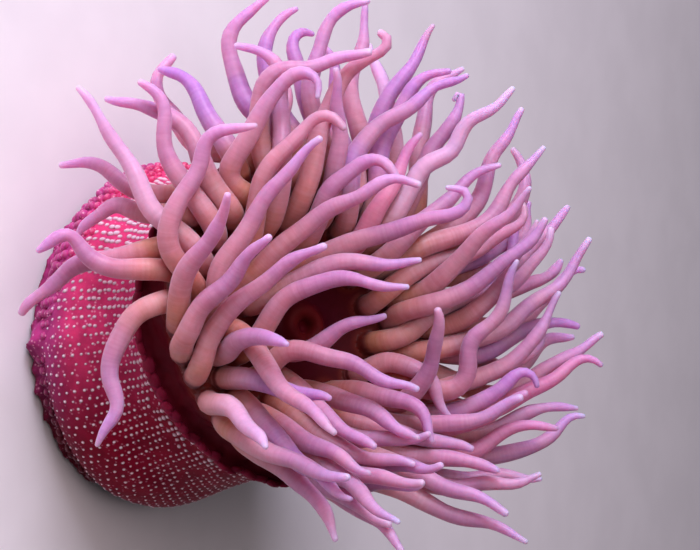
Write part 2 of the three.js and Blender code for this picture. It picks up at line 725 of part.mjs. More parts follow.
const bodyPieces = [
  ["pedal_disc", "foot", columnLength(0, 4, [0, 1.5, 4])],
  ["column_lower", "column", columnLength(4 + GAP, 30, [4 + GAP, 9, 15, 22, 30])],
  ["column_middle", "column", columnLength(30 + GAP, 52, [30 + GAP, 40, 52])],
  ["column_upper", "column", columnLength(52 + GAP, 71, [52 + GAP, 62, 71])],
  ["collar", "collar", collar()],
  ["oral_disc", "disc", oralDisc()],
  ["mouth", "lips", mouth()],
];
for (const [name, look, solid] of bodyPieces) addMesh(name, look, solid);

const keys = RINGS.flatMap((ring, r) => Array.from({ length: ring.count }, (_, place) => [r, place]));
const lines = spaced(keys.map(([r, place]) => middleLine(r, place)));

const blocks = [];
RINGS.forEach((ring, r) => {
  for (let first = 0; first < ring.count; first += PER_BLOCK) {
    const mine = lines.filter((_, n) => keys[n][0] === r
      && keys[n][1] >= first && keys[n][1] < first + PER_BLOCK);
    const whole = (grow) => mine.reduce(
      (solid, line) => solid.add(tentacle(line, grow)),
      crownBlock(ring, first, PER_BLOCK, grow / 3),
    );
    const number = String(first / PER_BLOCK + 1).padStart(2, "0");
    blocks.push({ name: `tentacles_${ring.name}_${number}`, solid: whole(0), fat: whole(GAP) });
  }
});

const finished = bodyPieces.map(([, , solid]) => solid);
for (const block of blocks) {
  let { solid } = block;
  for (const other of finished) {
    if (boxesMeet(solid, other)) solid = solid.subtract(other);
  }
  for (const earlier of blocks) {
    if (earlier === block) break;
    if (boxesMeet(solid, earlier.fat)) solid = solid.subtract(earlier.fat);
  }
  addMesh(block.name, "tentacle", largest(solid).simplify(FINE_EDGE));
}

export default group;
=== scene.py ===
"""A white-spotted rose anemone at life size, with one skin over its body and tentacles.

Shapes are worked out in millimetres and put into metres when a piece is finished.
The body is described by its spine: a distance along it from the pedal disc, a radius,
and an azimuth round it from +X towards the far side.
"""

import math

import bmesh
import bpy
import numpy as np
from mathutils import Matrix, Vector, noise
from mathutils.kdtree import KDTree


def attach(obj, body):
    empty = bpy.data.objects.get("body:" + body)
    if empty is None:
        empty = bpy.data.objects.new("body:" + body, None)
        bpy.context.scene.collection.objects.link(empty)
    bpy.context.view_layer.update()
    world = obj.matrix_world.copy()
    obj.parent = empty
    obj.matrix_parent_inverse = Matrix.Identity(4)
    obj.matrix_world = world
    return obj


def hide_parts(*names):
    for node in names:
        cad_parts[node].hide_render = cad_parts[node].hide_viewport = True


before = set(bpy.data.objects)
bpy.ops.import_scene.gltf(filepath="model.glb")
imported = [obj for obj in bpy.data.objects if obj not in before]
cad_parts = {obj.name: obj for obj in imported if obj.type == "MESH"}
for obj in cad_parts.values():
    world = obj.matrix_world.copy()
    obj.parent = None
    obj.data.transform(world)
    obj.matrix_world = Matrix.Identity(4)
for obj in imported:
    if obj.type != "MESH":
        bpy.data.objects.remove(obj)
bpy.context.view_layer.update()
MM = 0.001

# ---- driving dimensions, in mm ----------------------------------------------------------

CROWN_HEIGHT = 86
BEND_STARTS = 26
BEND_ENDS = 71
BEND = math.radians(27)
BEND_RADIUS = (BEND_ENDS - BEND_STARTS) / BEND
BASE_OFFSET = 6

# (distance along the spine, radius)
COLUMN_PROFILE = [
    (0, 47), (3, 50), (8, 54), (15, 56), (25, 54), (36, 50), (50, 47), (62, 46), (71, 47.5),
]
# (radius, height over the end of the spine)
DISC_PROFILE = [(0, -5), (8, -4.5), (17, -3), (28, 0.5), (36, 2.5), (43.5, 1.5), (47, -2)]
CROWN_FLOOR = -9
CROWN_EDGE = 47
LOBE_AZIMUTH = math.radians(225)
LOBE_SHIFT = 0.06
LOBE_STRETCH = 0.07
LOBE_FADE = (45, 85)

# (share of a tentacle's length, radius)
TENTACLE_PROFILE = [(0, 3.4), (0.3, 3.2), (0.55, 2.7), (0.75, 2.15), (0.92, 1.35), (1, 0.8)]
TENTACLE_ROOT = TENTACLE_PROFILE[0][1]
TENTACLE_TIP = TENTACLE_PROFILE[-1][1]
SUNK = 2
LINE_POINTS = 25
LINE_SMOOTHINGS = 2
CURVE_PIECES = 40                 # of a smooth curve between two stops

# The four rings of tentacles: radius, count, and turn in places.
RINGS = [(43.5, 36, 0), (36, 30, 0.5), (28.5, 20, 0), (21.5, 12, 0.5)]

# ---- how the tentacles are held ---------------------------------------------------------

VIEW_HEIGHT = math.radians(32)
VIEW_DISTANCE = 520
RIGHT = np.array([0, math.sin(VIEW_HEIGHT), math.cos(VIEW_HEIGHT)])
UP = np.array([-1.0, 0, 0])
TOWARD = np.array([0, -math.cos(VIEW_HEIGHT), math.sin(VIEW_HEIGHT)])
MOUTH_SHOWN = (-11.4, -15.3)

# For each ring, the tentacles that are held in a way of their own, by place: mm towards
# the viewer at the tip, then right and up of the mouth for each bend and for the tip.
POSES = [
    {
        0: (16, 20, -46, 37, -54, 65, -64),
        1: (12, 47, -48, 69, -45),
        2: (4, 32, -45, 69, -45),
        3: (4, 47, -38, 56, -33, 68, -29, 74, -30),
        4: (-2, 47, -39, 65, -37, 73, -31, 77, -27, 82, -28),
        5: (-6, 47, -33, 65, -26, 74, -23, 80, -24),
        6: (-4, 50, -26, 68, -18, 79, -11, 84, -10, 87, -12),
        7: (-8, 55, -21, 80, -7, 88, -3),
        8: (-14, 62, -13, 71, -3, 79, -3),
        9: (-14, 62, 1, 78, 17, 82, 16),
        10: (-22, 67, 13, 75, 20),
        11: (-16, 58, 19, 65, 25, 70, 29, 72, 34, 76, 37),
        12: (-14, 56, 30, 63, 36, 65, 41, 63, 47, 60, 53),
        13: (-14, 35, 69, 45, 78),
        14: (-12, 20, 53, 27, 72, 38, 90),
        15: (-22, 21, 63, 19, 75, 17, 85),
        16: (-10, 9, 65, 11, 78, 15, 86, 16, 92, 15, 97),
        17: (-10, -2, 68, -4, 80, -6, 86, -2, 90, 1, 88),
        18: (-8, -10, 65, -14, 81, -13, 89, -9, 94, -4, 95),
        19: (-6, -21, 65, -25, 83, -24, 89, -19, 95, -13, 98),
        20: (-14, -34, 53, -47, 76, -41, 81),
        21: (-8, -31, 63, -40, 76, -46, 78),
        22: (-6, -49, 39, -60, 45, -67, 49, -71, 50, -76, 48),
        23: (-6, -53, 34, -60, 37, -64, 34, -70, 27),
        24: (-2, -56, 21, -71, 18, -77, 14, -87, 3),
        25: (8, -61, 18, -69, 22, -73, 28, -77, 27, -83, 23),
        26: (10, -53, 3, -61, -16, -58, -26, -65, -36),
        27: (26, -39, 14, -30, 28, -25, 35, -25, 40),
        28: (24, -34, 5, -22, 17, -13, 28),
        29: (20, -30, -3, -20, 9, 4, 25),
        30: (34, -25, -24, -19, -30, -14, -37),
    },
    {
        0: (22, 20, -40, 59, -56),
        1: (16, 26, -37, 47, -38, 56, -43),
        2: (6, 35, -31, 50, -27, 65, -20),
        3: (8, 40, -27, 55, -21, 62, -13, 67, -15, 67, -19),
        4: (2, 50, -14, 61, -10, 67, -2, 71, 5, 75, 10),
        5: (-12, 44, -18, 68, -5, 70, 1),
        6: (-10, 50, -8, 71, 2, 80, -1),
        8: (-10, 41, 2, 58, 18, 61, 31),
        9: (-22, 64, 26, 67, 36),
        10: (-8, 43, 30, 52, 40, 54, 52, 60, 58, 64, 65),
        11: (-6, 36, 53, 42, 62, 46, 68, 45, 72, 43, 67),
        12: (-4, 18, 51, 35, 76, 41, 77),
        13: (-14, 8, 56, 8, 75, 4, 84),
        14: (-2, -1, 68, 1, 81, 3, 88, 10, 95, 17, 98),
        15: (-6, -10, 50, -7, 62, -7, 73),
        16: (6, -13, 62, -10, 75, -4, 78, 2, 76, 12, 82, 19, 82),
        17: (14, -26, 44, -17, 60, -10, 73, -4, 76, 2, 73, 2, 68),
        18: (4, -30, 41, -36, 55, -42, 63, -52, 65, -62, 69),
        19: (9, -43, 50, -46, 68, -52, 74),
        20: (4, -48, 32, -54, 45, -62, 60, -71, 71),
        21: (12, -42, 24, -38, 40, -32, 49, -31, 56, -24, 60, -16, 60),
        22: (12, -32, 15, -19, 32, -12, 43, -4, 51, 3, 56),
        23: (30, -25, -4, -15, -2, -8, -6),
        24: (30, -20, -15, -8, -18, 5, -22),
    },
    {
        2: (26, 26, -26, 35, -15, 38, -6, 37, 5),
        3: (14, 43, -19, 47, -13, 47, -5, 55, 3, 59, 13, 62, 20),
        4: (-8, 44, -2, 59, 2, 65, 8, 75, 14, 80, 20, 83, 27),
        7: (-6, 52, 29, 58, 36, 60, 42, 65, 49, 70, 53),
        8: (4, 34, 49, 41, 52, 46, 60, 54, 66, 61, 71),
        9: (4, 9, 50, 35, 70, 46, 76),
        11: (4, 5, 64, 9, 73, 19, 81, 24, 86, 20, 88),
        12: (2, -12, 65, -11, 76, -15, 80, -22, 84, -25, 85),
        13: (10, -15, 44, -4, 58, 4, 63, 10, 59),
        14: (12, -7, 26, 11, 38, 26, 44, 33, 43),
        16: (15, -7, 10, 12, 14, 29, 11),
        17: (22, -7, -7, 5, -9, 32, -20),
    },
    {
        0: (20, 17, -20, 33, -26, 37, -35),
        1: (14, 23, -11, 33, -16, 41, -29),
        2: (-4, 35, 4, 53, 8, 64, 14, 70, 23, 71, 29),
        3: (0, 32, 18, 50, 24, 59, 30, 63, 34, 62, 39),
        4: (-2, 35, 34, 45, 42, 50, 46, 56, 49),
        5: (0, 14, 33, 31, 58),
        6: (14, 2, 42, 11, 49, 20, 50, 25, 46),
        7: (6, 20, 28, 36, 32, 46, 36, 48, 41, 45, 43, 40, 42),
        8: (16, 5, 18, 33, 19),
        9: (15, -4, -8, 11, 0, 22, 4),
    },
]

# How the other tentacles fan out, in degrees of azimuth or turn and in mm.
FAN_WRAP = 230
FAN_NEAR = (225, 355)
FAN_HEADING = -14
FAN_HEADING_PER_DEGREE = 0.45
FAN_HEADING_SPREAD = 24
FAN_LENGTH = 48
FAN_LENGTH_SPREAD = 18
FAN_TILT_NEAR = 36
FAN_TILT_FAR = 14
FAN_TILT_SPREAD = 16
FAN_STOPS = (0.5, 0.8, 1)
FAN_BOW = 0.9
FAN_BOW_MIDDLE = 0.4
SEEDS_PER_RING = 40

LEAVING_STRAIGHT = 0.75
LEAVING_LENGTH = 5.5
RAISED = 4

# How a tentacle wavers past a share of its length: mm at its tip, mm from one crest to the
# next, and how much more slowly it does so in depth.
WAVER_MOST = 0.9
WAVER_LENGTH = 19
WAVER_LENGTH_SPREAD = 9
WAVER_FROM = 0.2
WAVER_IN_DEPTH = 0.7

WATER_GAP = 0.5
SPACING_ROUNDS = 200
SPACING_SIDEWAYS = 0.6
PAIRS_EVERY = 5                   # rounds after which close points are looked for again
PAIRS_MARGIN = 5
FREE_FROM = 0.02
FREE_OVER = 0.15
ROOTED = 0.12
RIM_DEPTH = -2


# ---- small helpers ----------------------------------------------------------------------


def scatter(index, channel):
    """A number from 0 to 1 that looks random but is the same for the same two inputs."""
    value = math.sin(index * 12.9898 + channel * 78.233) * 43758.5453
    return value - math.floor(value)


def varied(low, high, index, channel):
    """A number from low to high, picked as scatter picks it."""
    return low + (high - low) * scatter(index, channel)


def unit(vectors):
    """Vectors of length 1 the same way."""
    length = np.linalg.norm(vectors, axis=-1, keepdims=True)
    return vectors / np.maximum(length, 1e-9)


def step(low, high, value):
    """0 below low, 1 above high, and smooth between them."""
    share = np.clip((value - low) / (high - low), 0, 1)
    return share * share * (3 - 2 * share)


def follow(table, value):
    """Straight-line interpolation in a table of (x, y) rows."""
    x, y = zip(*table)
    return np.interp(value, x, y)


def lobe(azimuth):
    """The crown's outline: 1 for a circle, more towards the lobe."""
    turned = azimuth - LOBE_AZIMUTH
    return 1 + LOBE_SHIFT * np.cos(turned) + LOBE_STRETCH * np.cos(2 * turned)


# ---- the spine and the surfaces round it ------------------------------------------------


def spine_at(distance):
    """The centre, far-side direction and axis of the body at distances along its spine."""
    distance = np.asarray(distance, float)
    bent = np.clip(distance, BEND_STARTS, BEND_ENDS)
    angle = (bent - BEND_STARTS) / BEND_RADIUS
    none = np.zeros_like(angle)
    far = np.stack([none, np.cos(angle), np.sin(angle)], -1)
    axis = np.stack([none, -np.sin(angle), np.cos(angle)], -1)
    across = BASE_OFFSET * (1 - distance / CROWN_HEIGHT)
    back = -BEND_RADIUS * (1 - np.cos(angle))
    up = BEND_STARTS + BEND_RADIUS * np.sin(angle)
    centre = np.stack([across, back, up], -1) + axis * (distance - bent)[..., None]
    return centre, far, axis


CROWN, CROWN_FAR, CROWN_AXIS = spine_at(CROWN_HEIGHT)


def crown_point(azimuth, radius, height):
    """A point of the crown from its azimuth, radius and height over the spine's end."""
    across = np.array([math.cos(azimuth), 0, 0]) + math.sin(azimuth) * CROWN_FAR
    return CROWN + radius * across + height * CROWN_AXIS


def lobed(distance, azimuth):
    """How much wider than a circle the body is at a spine distance and azimuth."""
    return 1 + (lobe(azimuth) - 1) * step(*LOBE_FADE, distance)


def by_spine(points):
    """Where points lie by the spine: distance, radius, azimuth, way outwards, axis."""
    angle = np.arctan2(points[:, 2] - BEND_STARTS, points[:, 1] + BEND_RADIUS)
    bent = BEND_STARTS + BEND_RADIUS * np.clip(angle, 0, BEND)
    centre, far, axis = spine_at(bent)
    offset = points - centre
    distance = bent + (offset * axis).sum(1)
    side = points[:, 0] - BASE_OFFSET * (1 - distance / CROWN_HEIGHT)
    across = (offset * far).sum(1)
    radius = np.hypot(side, across)
    outwards = side[:, None] * np.array([1.0, 0, 0]) + across[:, None] * far
    return distance, radius, np.arctan2(across, side), unit(outwards), axis


# ---- the tentacles' middle lines --------------------------------------------------------

AIM = CROWN - MOUTH_SHOWN[0] * RIGHT - MOUTH_SHOWN[1] * UP


def shown_at(right, up, depth):
    """The point that shows right and up of the mouth, at a depth towards the viewer."""
    scale = 1 - depth / VIEW_DISTANCE
    sideways = (MOUTH_SHOWN[0] + right) * RIGHT + (MOUTH_SHOWN[1] + up) * UP
    return AIM + scale * sideways + depth * TOWARD


def place_shown(point):
    """How far right and up of the mouth a point shows, and its depth."""
    offset = point - AIM
    depth = offset @ TOWARD
    scale = 1 - depth / VIEW_DISTANCE
    return offset @ RIGHT / scale - MOUTH_SHOWN[0], offset @ UP / scale - MOUTH_SHOWN[1], depth


def root_of(ring, place):
    """The middle of a tentacle's root, the way out of the disc there, and its azimuth."""
    radius, count, turn = RINGS[ring]
    azimuth = (place + turn) * 2 * math.pi / count
    rise = (follow(DISC_PROFILE, radius + 1) - follow(DISC_PROFILE, radius - 1)) / 2
    point = crown_point(azimuth, radius * lobe(azimuth), follow(DISC_PROFILE, radius))
    outwards = crown_point(azimuth, 1, 0) - CROWN
    return point, unit(CROWN_AXIS - rise * outwards), azimuth


def fanned_out(ring, place):
    """The pose of a tentacle without one of its own."""
    point, _, azimuth = root_of(ring, place)
    index = ring * SEEDS_PER_RING + place
    turn = math.degrees(azimuth)
    signed = turn if turn < FAN_WRAP else turn - 360
    heading = FAN_HEADING + FAN_HEADING_PER_DEGREE * signed
    heading += FAN_HEADING_SPREAD * (scatter(index, 0) - 0.5)
    length = FAN_LENGTH + FAN_LENGTH_SPREAD * scatter(index, 1)
    tilt = FAN_TILT_NEAR if FAN_NEAR[0] < turn < FAN_NEAR[1] else FAN_TILT_FAR
    tilt = math.radians(tilt + FAN_TILT_SPREAD * (scatter(index, 3) - 0.5))
    bow = FAN_BOW * (scatter(index, 2) - FAN_BOW_MIDDLE)
    right, up, _ = place_shown(point)
    pose = [length * math.sin(tilt)]
    for share in FAN_STOPS:
        way = math.radians(heading) + bow * (share - 0.5)
        reach = length * math.cos(tilt) * share
        pose += [right + reach * math.cos(way), up + reach * math.sin(way)]
    return pose


def curve_through(stops, pieces):
    """Points on a smooth curve through the stops, with more stops close than far."""
    ends = [2 * stops[0] - stops[1], *stops, 2 * stops[-1] - stops[-2]]
    points = []
    for a, b, c, d in zip(ends, ends[1:], ends[2:], ends[3:]):
        t0, t1, t2 = (np.linalg.norm(q - p) ** 0.5 for p, q in ((a, b), (b, c), (c, d)))
        into = (b - a) / t0 - (c - a) / (t0 + t1) + (c - b) / t1
        out = (c - b) / t1 - (d - b) / (t1 + t2) + (d - c) / t2
        for t in np.arange(pieces) / pieces:
            ease = t * t * (3 - 2 * t)
            points.append(
                b + (c - b) * ease + t1 * (into * t * (1 - t) ** 2 - out * t * t * (1 - t))
            )
    return np.array([*points, stops[-1]])


def along(line):
    """How far along a line of points each one lies."""
    return np.concatenate([[0], np.cumsum(np.linalg.norm(np.diff(line, axis=0), axis=1))])


def at_distances(line, distances):
    """Points at distances along a line of points."""
    passed = along(line)
    return np.stack([np.interp(distances, passed, column) for column in line.T], -1)


def middle_line(ring, place):
    """The middle line of a tentacle before the tentacles are pushed apart."""
    point, normal, _ = root_of(ring, place)
    toward, *places = POSES[ring].get(place) or fanned_out(ring, place)
    right, up, root_depth = place_shown(point)
    shown = np.array([(right, up), *zip(places[::2], places[1::2])])
    share = along(shown)[1:] / along(shown)[-1]
    stops = [
        shown_at(*where, root_depth + RAISED * (1 - s) + toward * s)
        for where, s in zip(shown[1:], share)
    ]
    leaving = unit(unit(stops[0] - point) + LEAVING_STRAIGHT * normal)
    first = [point - SUNK * normal, point + LEAVING_LENGTH * leaving]
    curve = curve_through([*first, *stops], CURVE_PIECES)
    line = at_distances(curve, np.linspace(0, along(curve)[-1], LINE_POINTS))
    for _ in range(LINE_SMOOTHINGS):
        line[2:-1] = (line[1:-2] + 2 * line[2:-1] + line[3:]) / 4
    return wavering(line, ring * SEEDS_PER_RING + place)


def wavering(line, index):
    """The line wavering from side to side and in depth, more towards its tip."""
    most = WAVER_MOST * step(WAVER_FROM, 1, np.linspace(0, 1, len(line)))[:, None]
    sideways = unit(np.cross(np.gradient(line, axis=0), TOWARD))
    waves = np.linalg.norm(line[1] - line[0])
    waves /= WAVER_LENGTH + WAVER_LENGTH_SPREAD * scatter(index, 11)
    turn = 2 * math.pi * (np.arange(len(line)) * waves + scatter(index, 12))[:, None]
    return line + most * (np.sin(turn) * sideways + np.sin(WAVER_IN_DEPTH * turn) * TOWARD)


def tentacle_radius(share):
    """How thick a tentacle is, from its middle, at a share of its length."""
    return follow(TENTACLE_PROFILE, share)


def out_of_body(points, radius):
    """The moves that take points of tentacles out of the column, the disc or the floor."""
    distance, far, azimuth, outwards, _ = by_spine(points)
    clear = radius + WATER_GAP
    height = distance - CROWN_HEIGHT
    by_crown = height > CROWN_FLOOR
    edge = CROWN_EDGE * lobe(azimuth)
    lowest = follow(DISC_PROFILE, far / lobe(azimuth)) + clear
    over_disc = by_crown & (far < edge) & (height < lowest)
    beside = by_crown & ~over_disc & (height < RIM_DEPTH) & (far < edge + clear)
    least = follow(COLUMN_PROFILE, distance) * lobed(distance, azimuth) + clear
    by_column = ~by_crown & (far < least)
    sideways = np.where(beside, edge + clear - far, 0) + np.where(by_column, least - far, 0)
    move = outwards * sideways[:, None]
    move += CROWN_AXIS * np.where(over_disc, lowest - height, 0)[:, None]
    move[:, 2] += np.maximum(clear - points[:, 2], 0)
    return move


def close_pairs(points, owner, reach):
    """Pairs of points on different tentacles that are closer than reach."""
    square = (points**2).sum(1)
    apart = square[:, None] + square[None] - 2 * points @ points.T
    close = (apart < reach**2) & (owner[:, None] < owner[None])
    return np.nonzero(close)


def spaced(lines):
    """Pushes tentacles apart where they would touch, and out of the body."""
    count, stops, _ = lines.shape
    share = np.tile(np.linspace(0, 1, stops), count)
    owner = np.repeat(np.arange(count), stops)
    radius = tentacle_radius(share)
    free = np.clip((share - FREE_FROM) / FREE_OVER, 0, 1)[:, None]
    loose = share >= ROOTED
    ease = SPACING_SIDEWAYS * (np.outer(RIGHT, RIGHT) + np.outer(UP, UP)) + np.outer(TOWARD, TOWARD)
    rest = lines.reshape(-1, 3)
    moved = np.zeros_like(rest)
    for turn in range(SPACING_ROUNDS):
        points = rest + moved
        if turn % PAIRS_EVERY == 0:
            reach = 2 * TENTACLE_ROOT + WATER_GAP + PAIRS_MARGIN
            first, second = close_pairs(points, owner, reach)
        between = points[first] - points[second]
        over = radius[first] + radius[second] + WATER_GAP - np.linalg.norm(between, axis=1)
        hit = over > 0
        push = unit(unit(between[hit]) @ ease) * over[hit, None] / 2
        pushes = np.zeros_like(rest)
        np.add.at(pushes, first[hit], push)
        np.add.at(pushes, second[hit], -push)
        hits = np.bincount(first[hit], minlength=len(rest))
        hits += np.bincount(second[hit], minlength=len(rest))
        pushes /= np.sqrt(np.maximum(hits, 1))[:, None]
        pushes[loose] += out_of_body(points[loose], radius[loose])
        moved = (moved + free * pushes).reshape(count, stops, 3)
        middle = moved.copy()
        middle[:, 1:-1] = (moved[:, :-2] + moved[:, 2:]) / 2
        middle[:, -1] = moved[:, -2]
        middle[:, 0] = moved[:, 0]
        moved = ((moved + middle) / 2).reshape(-1, 3)
    return (rest + moved).reshape(count, stops, 3)


# ---- the skin ---------------------------------------------------------------------------

BODY_SIDES = 288
FOOT_SPACING = 4
ROW_SPACING = 1.15
FINE_SPACING = 0.6
OUTLINE_PIECES = 24               # of a smooth outline between two of its points
WELD = 1e-4

# (radius, distance along the spine), from the middle of the foot to the bottom of the mouth
FOOT_OUTLINE = [(0, 0), (16, 0), (32, 0), (47, 0)]
COLUMN_OUTLINE = [
    (47, 0), (50, 0.9), (51, 2.6), (50.4, 4.4), (51.6, 7), (54.4, 10.5), (55.8, 15), (55.4, 20),
    (53.8, 26), (50.4, 36), (47.6, 48), (46.2, 60), (46.6, 67), (47, 70.6),
]
COLLAR_OUTLINE = [
    (47, 70.6), (48.2, 71.6), (48.9, 72.7), (48.2, 73.7), (46.6, 74.6), (45.2, 77.4),
    (44.6, 81), (44.9, 84), (45, 85.9), (44, 87.2), (42, 87.9),
]
DISC_OUTLINE = [(42, 87.9), (36, 88.2), (28, 86.4), (17, 83), (11, 81.6), (8, 81.4)]
MOUTH_OUTLINE = [
    (8, 81.4), (7, 81.9), (6, 83), (4.6, 83.5), (3.2, 83), (2.2, 81.6), (1.5, 79.8), (0, 79),
]

FOOT_LOBE_AZIMUTH = math.radians(269)
FOOT_LOBE_HEIGHT = 5.5
FOOT_LOBE_WIDTH = 4.2
FOOT_LOBE_LENGTH = 3.2
FOOT_LOBE_PROUD = 5.5

# Noise on the wall: lumps to a radian round it, lumps to a mm along it, and a seed.
ROUGHNESS = {
    "broad": (2, 0.03, 2),
    "folds": (7, 0.06, 1),
    "crumple": (13, 0.25, 3),
    "fine": (16, 0.5, 4),
    "crimps": (24, 0.3, 5),
}
# (noise, mm that it stands out, and how far along the spine it starts, is whole, fades, ends)
ROUGH_BANDS = [
    ("broad", 0.7, 3, 14, 66, 78),
    ("folds", 0.25, 20, 30, 64, 72),
    ("folds", 0.6, 42, 60, 67, 71),
    ("crumple", 1.3, 0.2, 1.6, 4, 9),
    ("crimps", 1.6, 0.2, 1.6, 4, 9),
    ("folds", 1.1, 70.5, 73, 82, 86),
    ("crumple", 0.6, 70.5, 73, 82, 86),
    ("fine", 0.25, 74, 76, 99, 100),
]
ROUGH_FROM = (40, 44)             # mm from the spine, so that foot and disc stay smooth
NOISES_APART = (17.3, 5.1, 9.7)

SKIN_SIDES = 12
SKIN_RINGS = 36
LINE_PIECES = 8                   # of a smooth line between two of its points
HEEL_DEPTH = 1.4                  # how much deeper than its solid a tentacle is rooted
HEEL = [(0, 0.5), (0.7, 0.82), (1.7, 1)]      # (mm from its end, share of its radius)
TIP_TURNS = np.radians([0, 28, 52, 72])       # round the tip, to its rings
HEEL_POINT = 0.35                 # how far its end points stand out, in radii
TIP_POINT = 0.15
FLARE = 0.3                       # mm that a root is wider than the solid's
FLARE_LENGTH = 4
TENTACLE_SIZES = (0.97, 1.03)
TIP_SIZES = (0.85, 1.25)
NEAR_TIP = (0.7, 1)
SWELLING = 0.06                   # share of its radius that a tentacle swells and narrows
SWELLING_AT_TIP = 0.22
SWELLS_MORE = (0.55, 0.95)        # shares of its length
SWELLING_LENGTH = 7
SWELLS_APART = 3.1                # so that no two tentacles swell alike
FILLET_REACH = 4
FILLET_ROUNDS = 2

# Which skin is a tentacle's, and which the disc's.
RINGS_TRIED = 8
NEARER_COUNTS = 0.1
TENTACLE_FADES = (2.2, 0.2)       # mm from a tentacle's own skin
WALL_MISSED = 0.4                 # mm within which a point is taken to be on the wall
ROOTS_FROM = 85                   # how far along the spine the roots of tentacles start
DISC_EDGE = (44.5, 42.5)          # mm from the spine
DISC_FROM = (80, 81)              # mm along the spine


def rough(distance, azimuth, around, lengthwise, seed):
    """Smooth noise from -1 to 1 that closes on itself round the body."""
    across = around * np.cos(azimuth), around * np.sin(azimuth)
    shift = Vector([seed * far for far in NOISES_APART])
    places = np.stack([*across, distance * lengthwise], -1)
    return np.array([noise.noise(Vector(place) + shift) for place in places])


def foot_lobe(distance, azimuth):
    """A smooth round lobe of the foot's edge, from 0 to 1."""
    around = (azimuth - FOOT_LOBE_AZIMUTH + math.pi) % (2 * math.pi) - math.pi
    across = around * COLUMN_PROFILE[1][1] / FOOT_LOBE_WIDTH
    along_wall = (distance - FOOT_LOBE_HEIGHT) / FOOT_LOBE_LENGTH
    return np.exp(-(across**2) - along_wall**2)


def skin_relief(distance, azimuth, radius):
    """How far the skin of the body stands out (+) or in (-), in mm."""
    lumps = {name: rough(distance, azimuth, *kind) for name, kind in ROUGHNESS.items()}
    relief = FOOT_LOBE_PROUD * foot_lobe(distance, azimuth)
    for name, proud, starts, whole, fades, ends in ROUGH_BANDS:
        relief += proud * lumps[name] * step(starts, whole, distance) * step(ends, fades, distance)
    return relief * step(*ROUGH_FROM, radius)


def bent_to_body(radius, azimuth, distance):
    """Points of the body from where they lie round a straight spine."""
    centre, far, _ = spine_at(distance)
    wide = radius * lobed(distance, azimuth) + skin_relief(distance, azimuth, radius)
    across = (wide * np.cos(azimuth))[:, None] * np.array([1.0, 0, 0])
    return centre + across + (wide * np.sin(azimuth))[:, None] * far


def evenly(outline, spacing):
    """Points at an even spacing on a smooth curve through an outline."""
    curve = curve_through(np.array(outline, float), OUTLINE_PIECES)
    count = max(2, round(along(curve)[-1] / spacing))
    return at_distances(curve, np.linspace(0, along(curve)[-1], count + 1))


def mesh_points(mesh):
    """The places of a mesh's points."""
    places = np.empty(len(mesh.vertices) * 3)
    mesh.vertices.foreach_get("co", places)
    return places.reshape(-1, 3)


def moved_to(mesh, points):
    """Puts a mesh's points at new places."""
    mesh.vertices.foreach_set("co", np.asarray(points, float).ravel())
    mesh.update()
    return mesh


def meshed(bm, name):
    """A mesh from a bmesh, with its faces turned out."""
    bmesh.ops.recalc_face_normals(bm, faces=bm.faces)
    mesh = bpy.data.meshes.new(name)
    bm.to_mesh(mesh)
    bm.free()
    return mesh


def lathed(outline, sides, name):
    """A closed form turned round +Z from (radius, height) points that start and end on it."""
    bm = bmesh.new()
    points = [bm.verts.new((radius, 0, height)) for radius, height in outline]
    edges = [bm.edges.new(pair) for pair in zip(points, points[1:])]
    bmesh.ops.spin(
        bm,
        geom=points + edges,
        axis=(0, 0, 1),
        cent=(0, 0, 0),
        steps=sides,
        angle=2 * math.pi,
        use_merge=True,
    )
    bmesh.ops.remove_doubles(bm, verts=bm.verts, dist=WELD)
    return meshed(bm, name)


def body_mesh():
    """The skin of the foot, column, collar, disc and mouth, without tentacles."""
    parts = [
        evenly(FOOT_OUTLINE, FOOT_SPACING),
        evenly(COLUMN_OUTLINE, ROW_SPACING),
        evenly(COLLAR_OUTLINE, FINE_SPACING),
        evenly(DISC_OUTLINE, ROW_SPACING),
        evenly(MOUTH_OUTLINE, FINE_SPACING),
    ]
    outline = np.concatenate([parts[0][:1], *[part[1:] for part in parts]])
    outline[0, 0] = outline[-1, 0] = 0
    mesh = lathed(outline, BODY_SIDES, "body")
    points = mesh_points(mesh)
    radius = np.hypot(points[:, 0], points[:, 1])
    azimuth = np.arctan2(points[:, 1], points[:, 0])
    return moved_to(mesh, bent_to_body(radius, azimuth, points[:, 2]))


def unit_tube():
    """A tube with a ring at each whole height and a point at each end."""
    bm = bmesh.new()
    last = SKIN_RINGS - 1
    bmesh.ops.create_cone(
        bm,
        cap_ends=True,
        cap_tris=True,
        segments=SKIN_SIDES,
        radius1=1,
        radius2=1,
        depth=last,
        matrix=Matrix.Translation((0, 0, last / 2)),
    )
    tall = [edge for edge in bm.edges if abs(edge.verts[0].co.z - edge.verts[1].co.z) > 1]
    bmesh.ops.subdivide_edges(bm, edges=tall, cuts=last - 1)
    return meshed(bm, "tube")


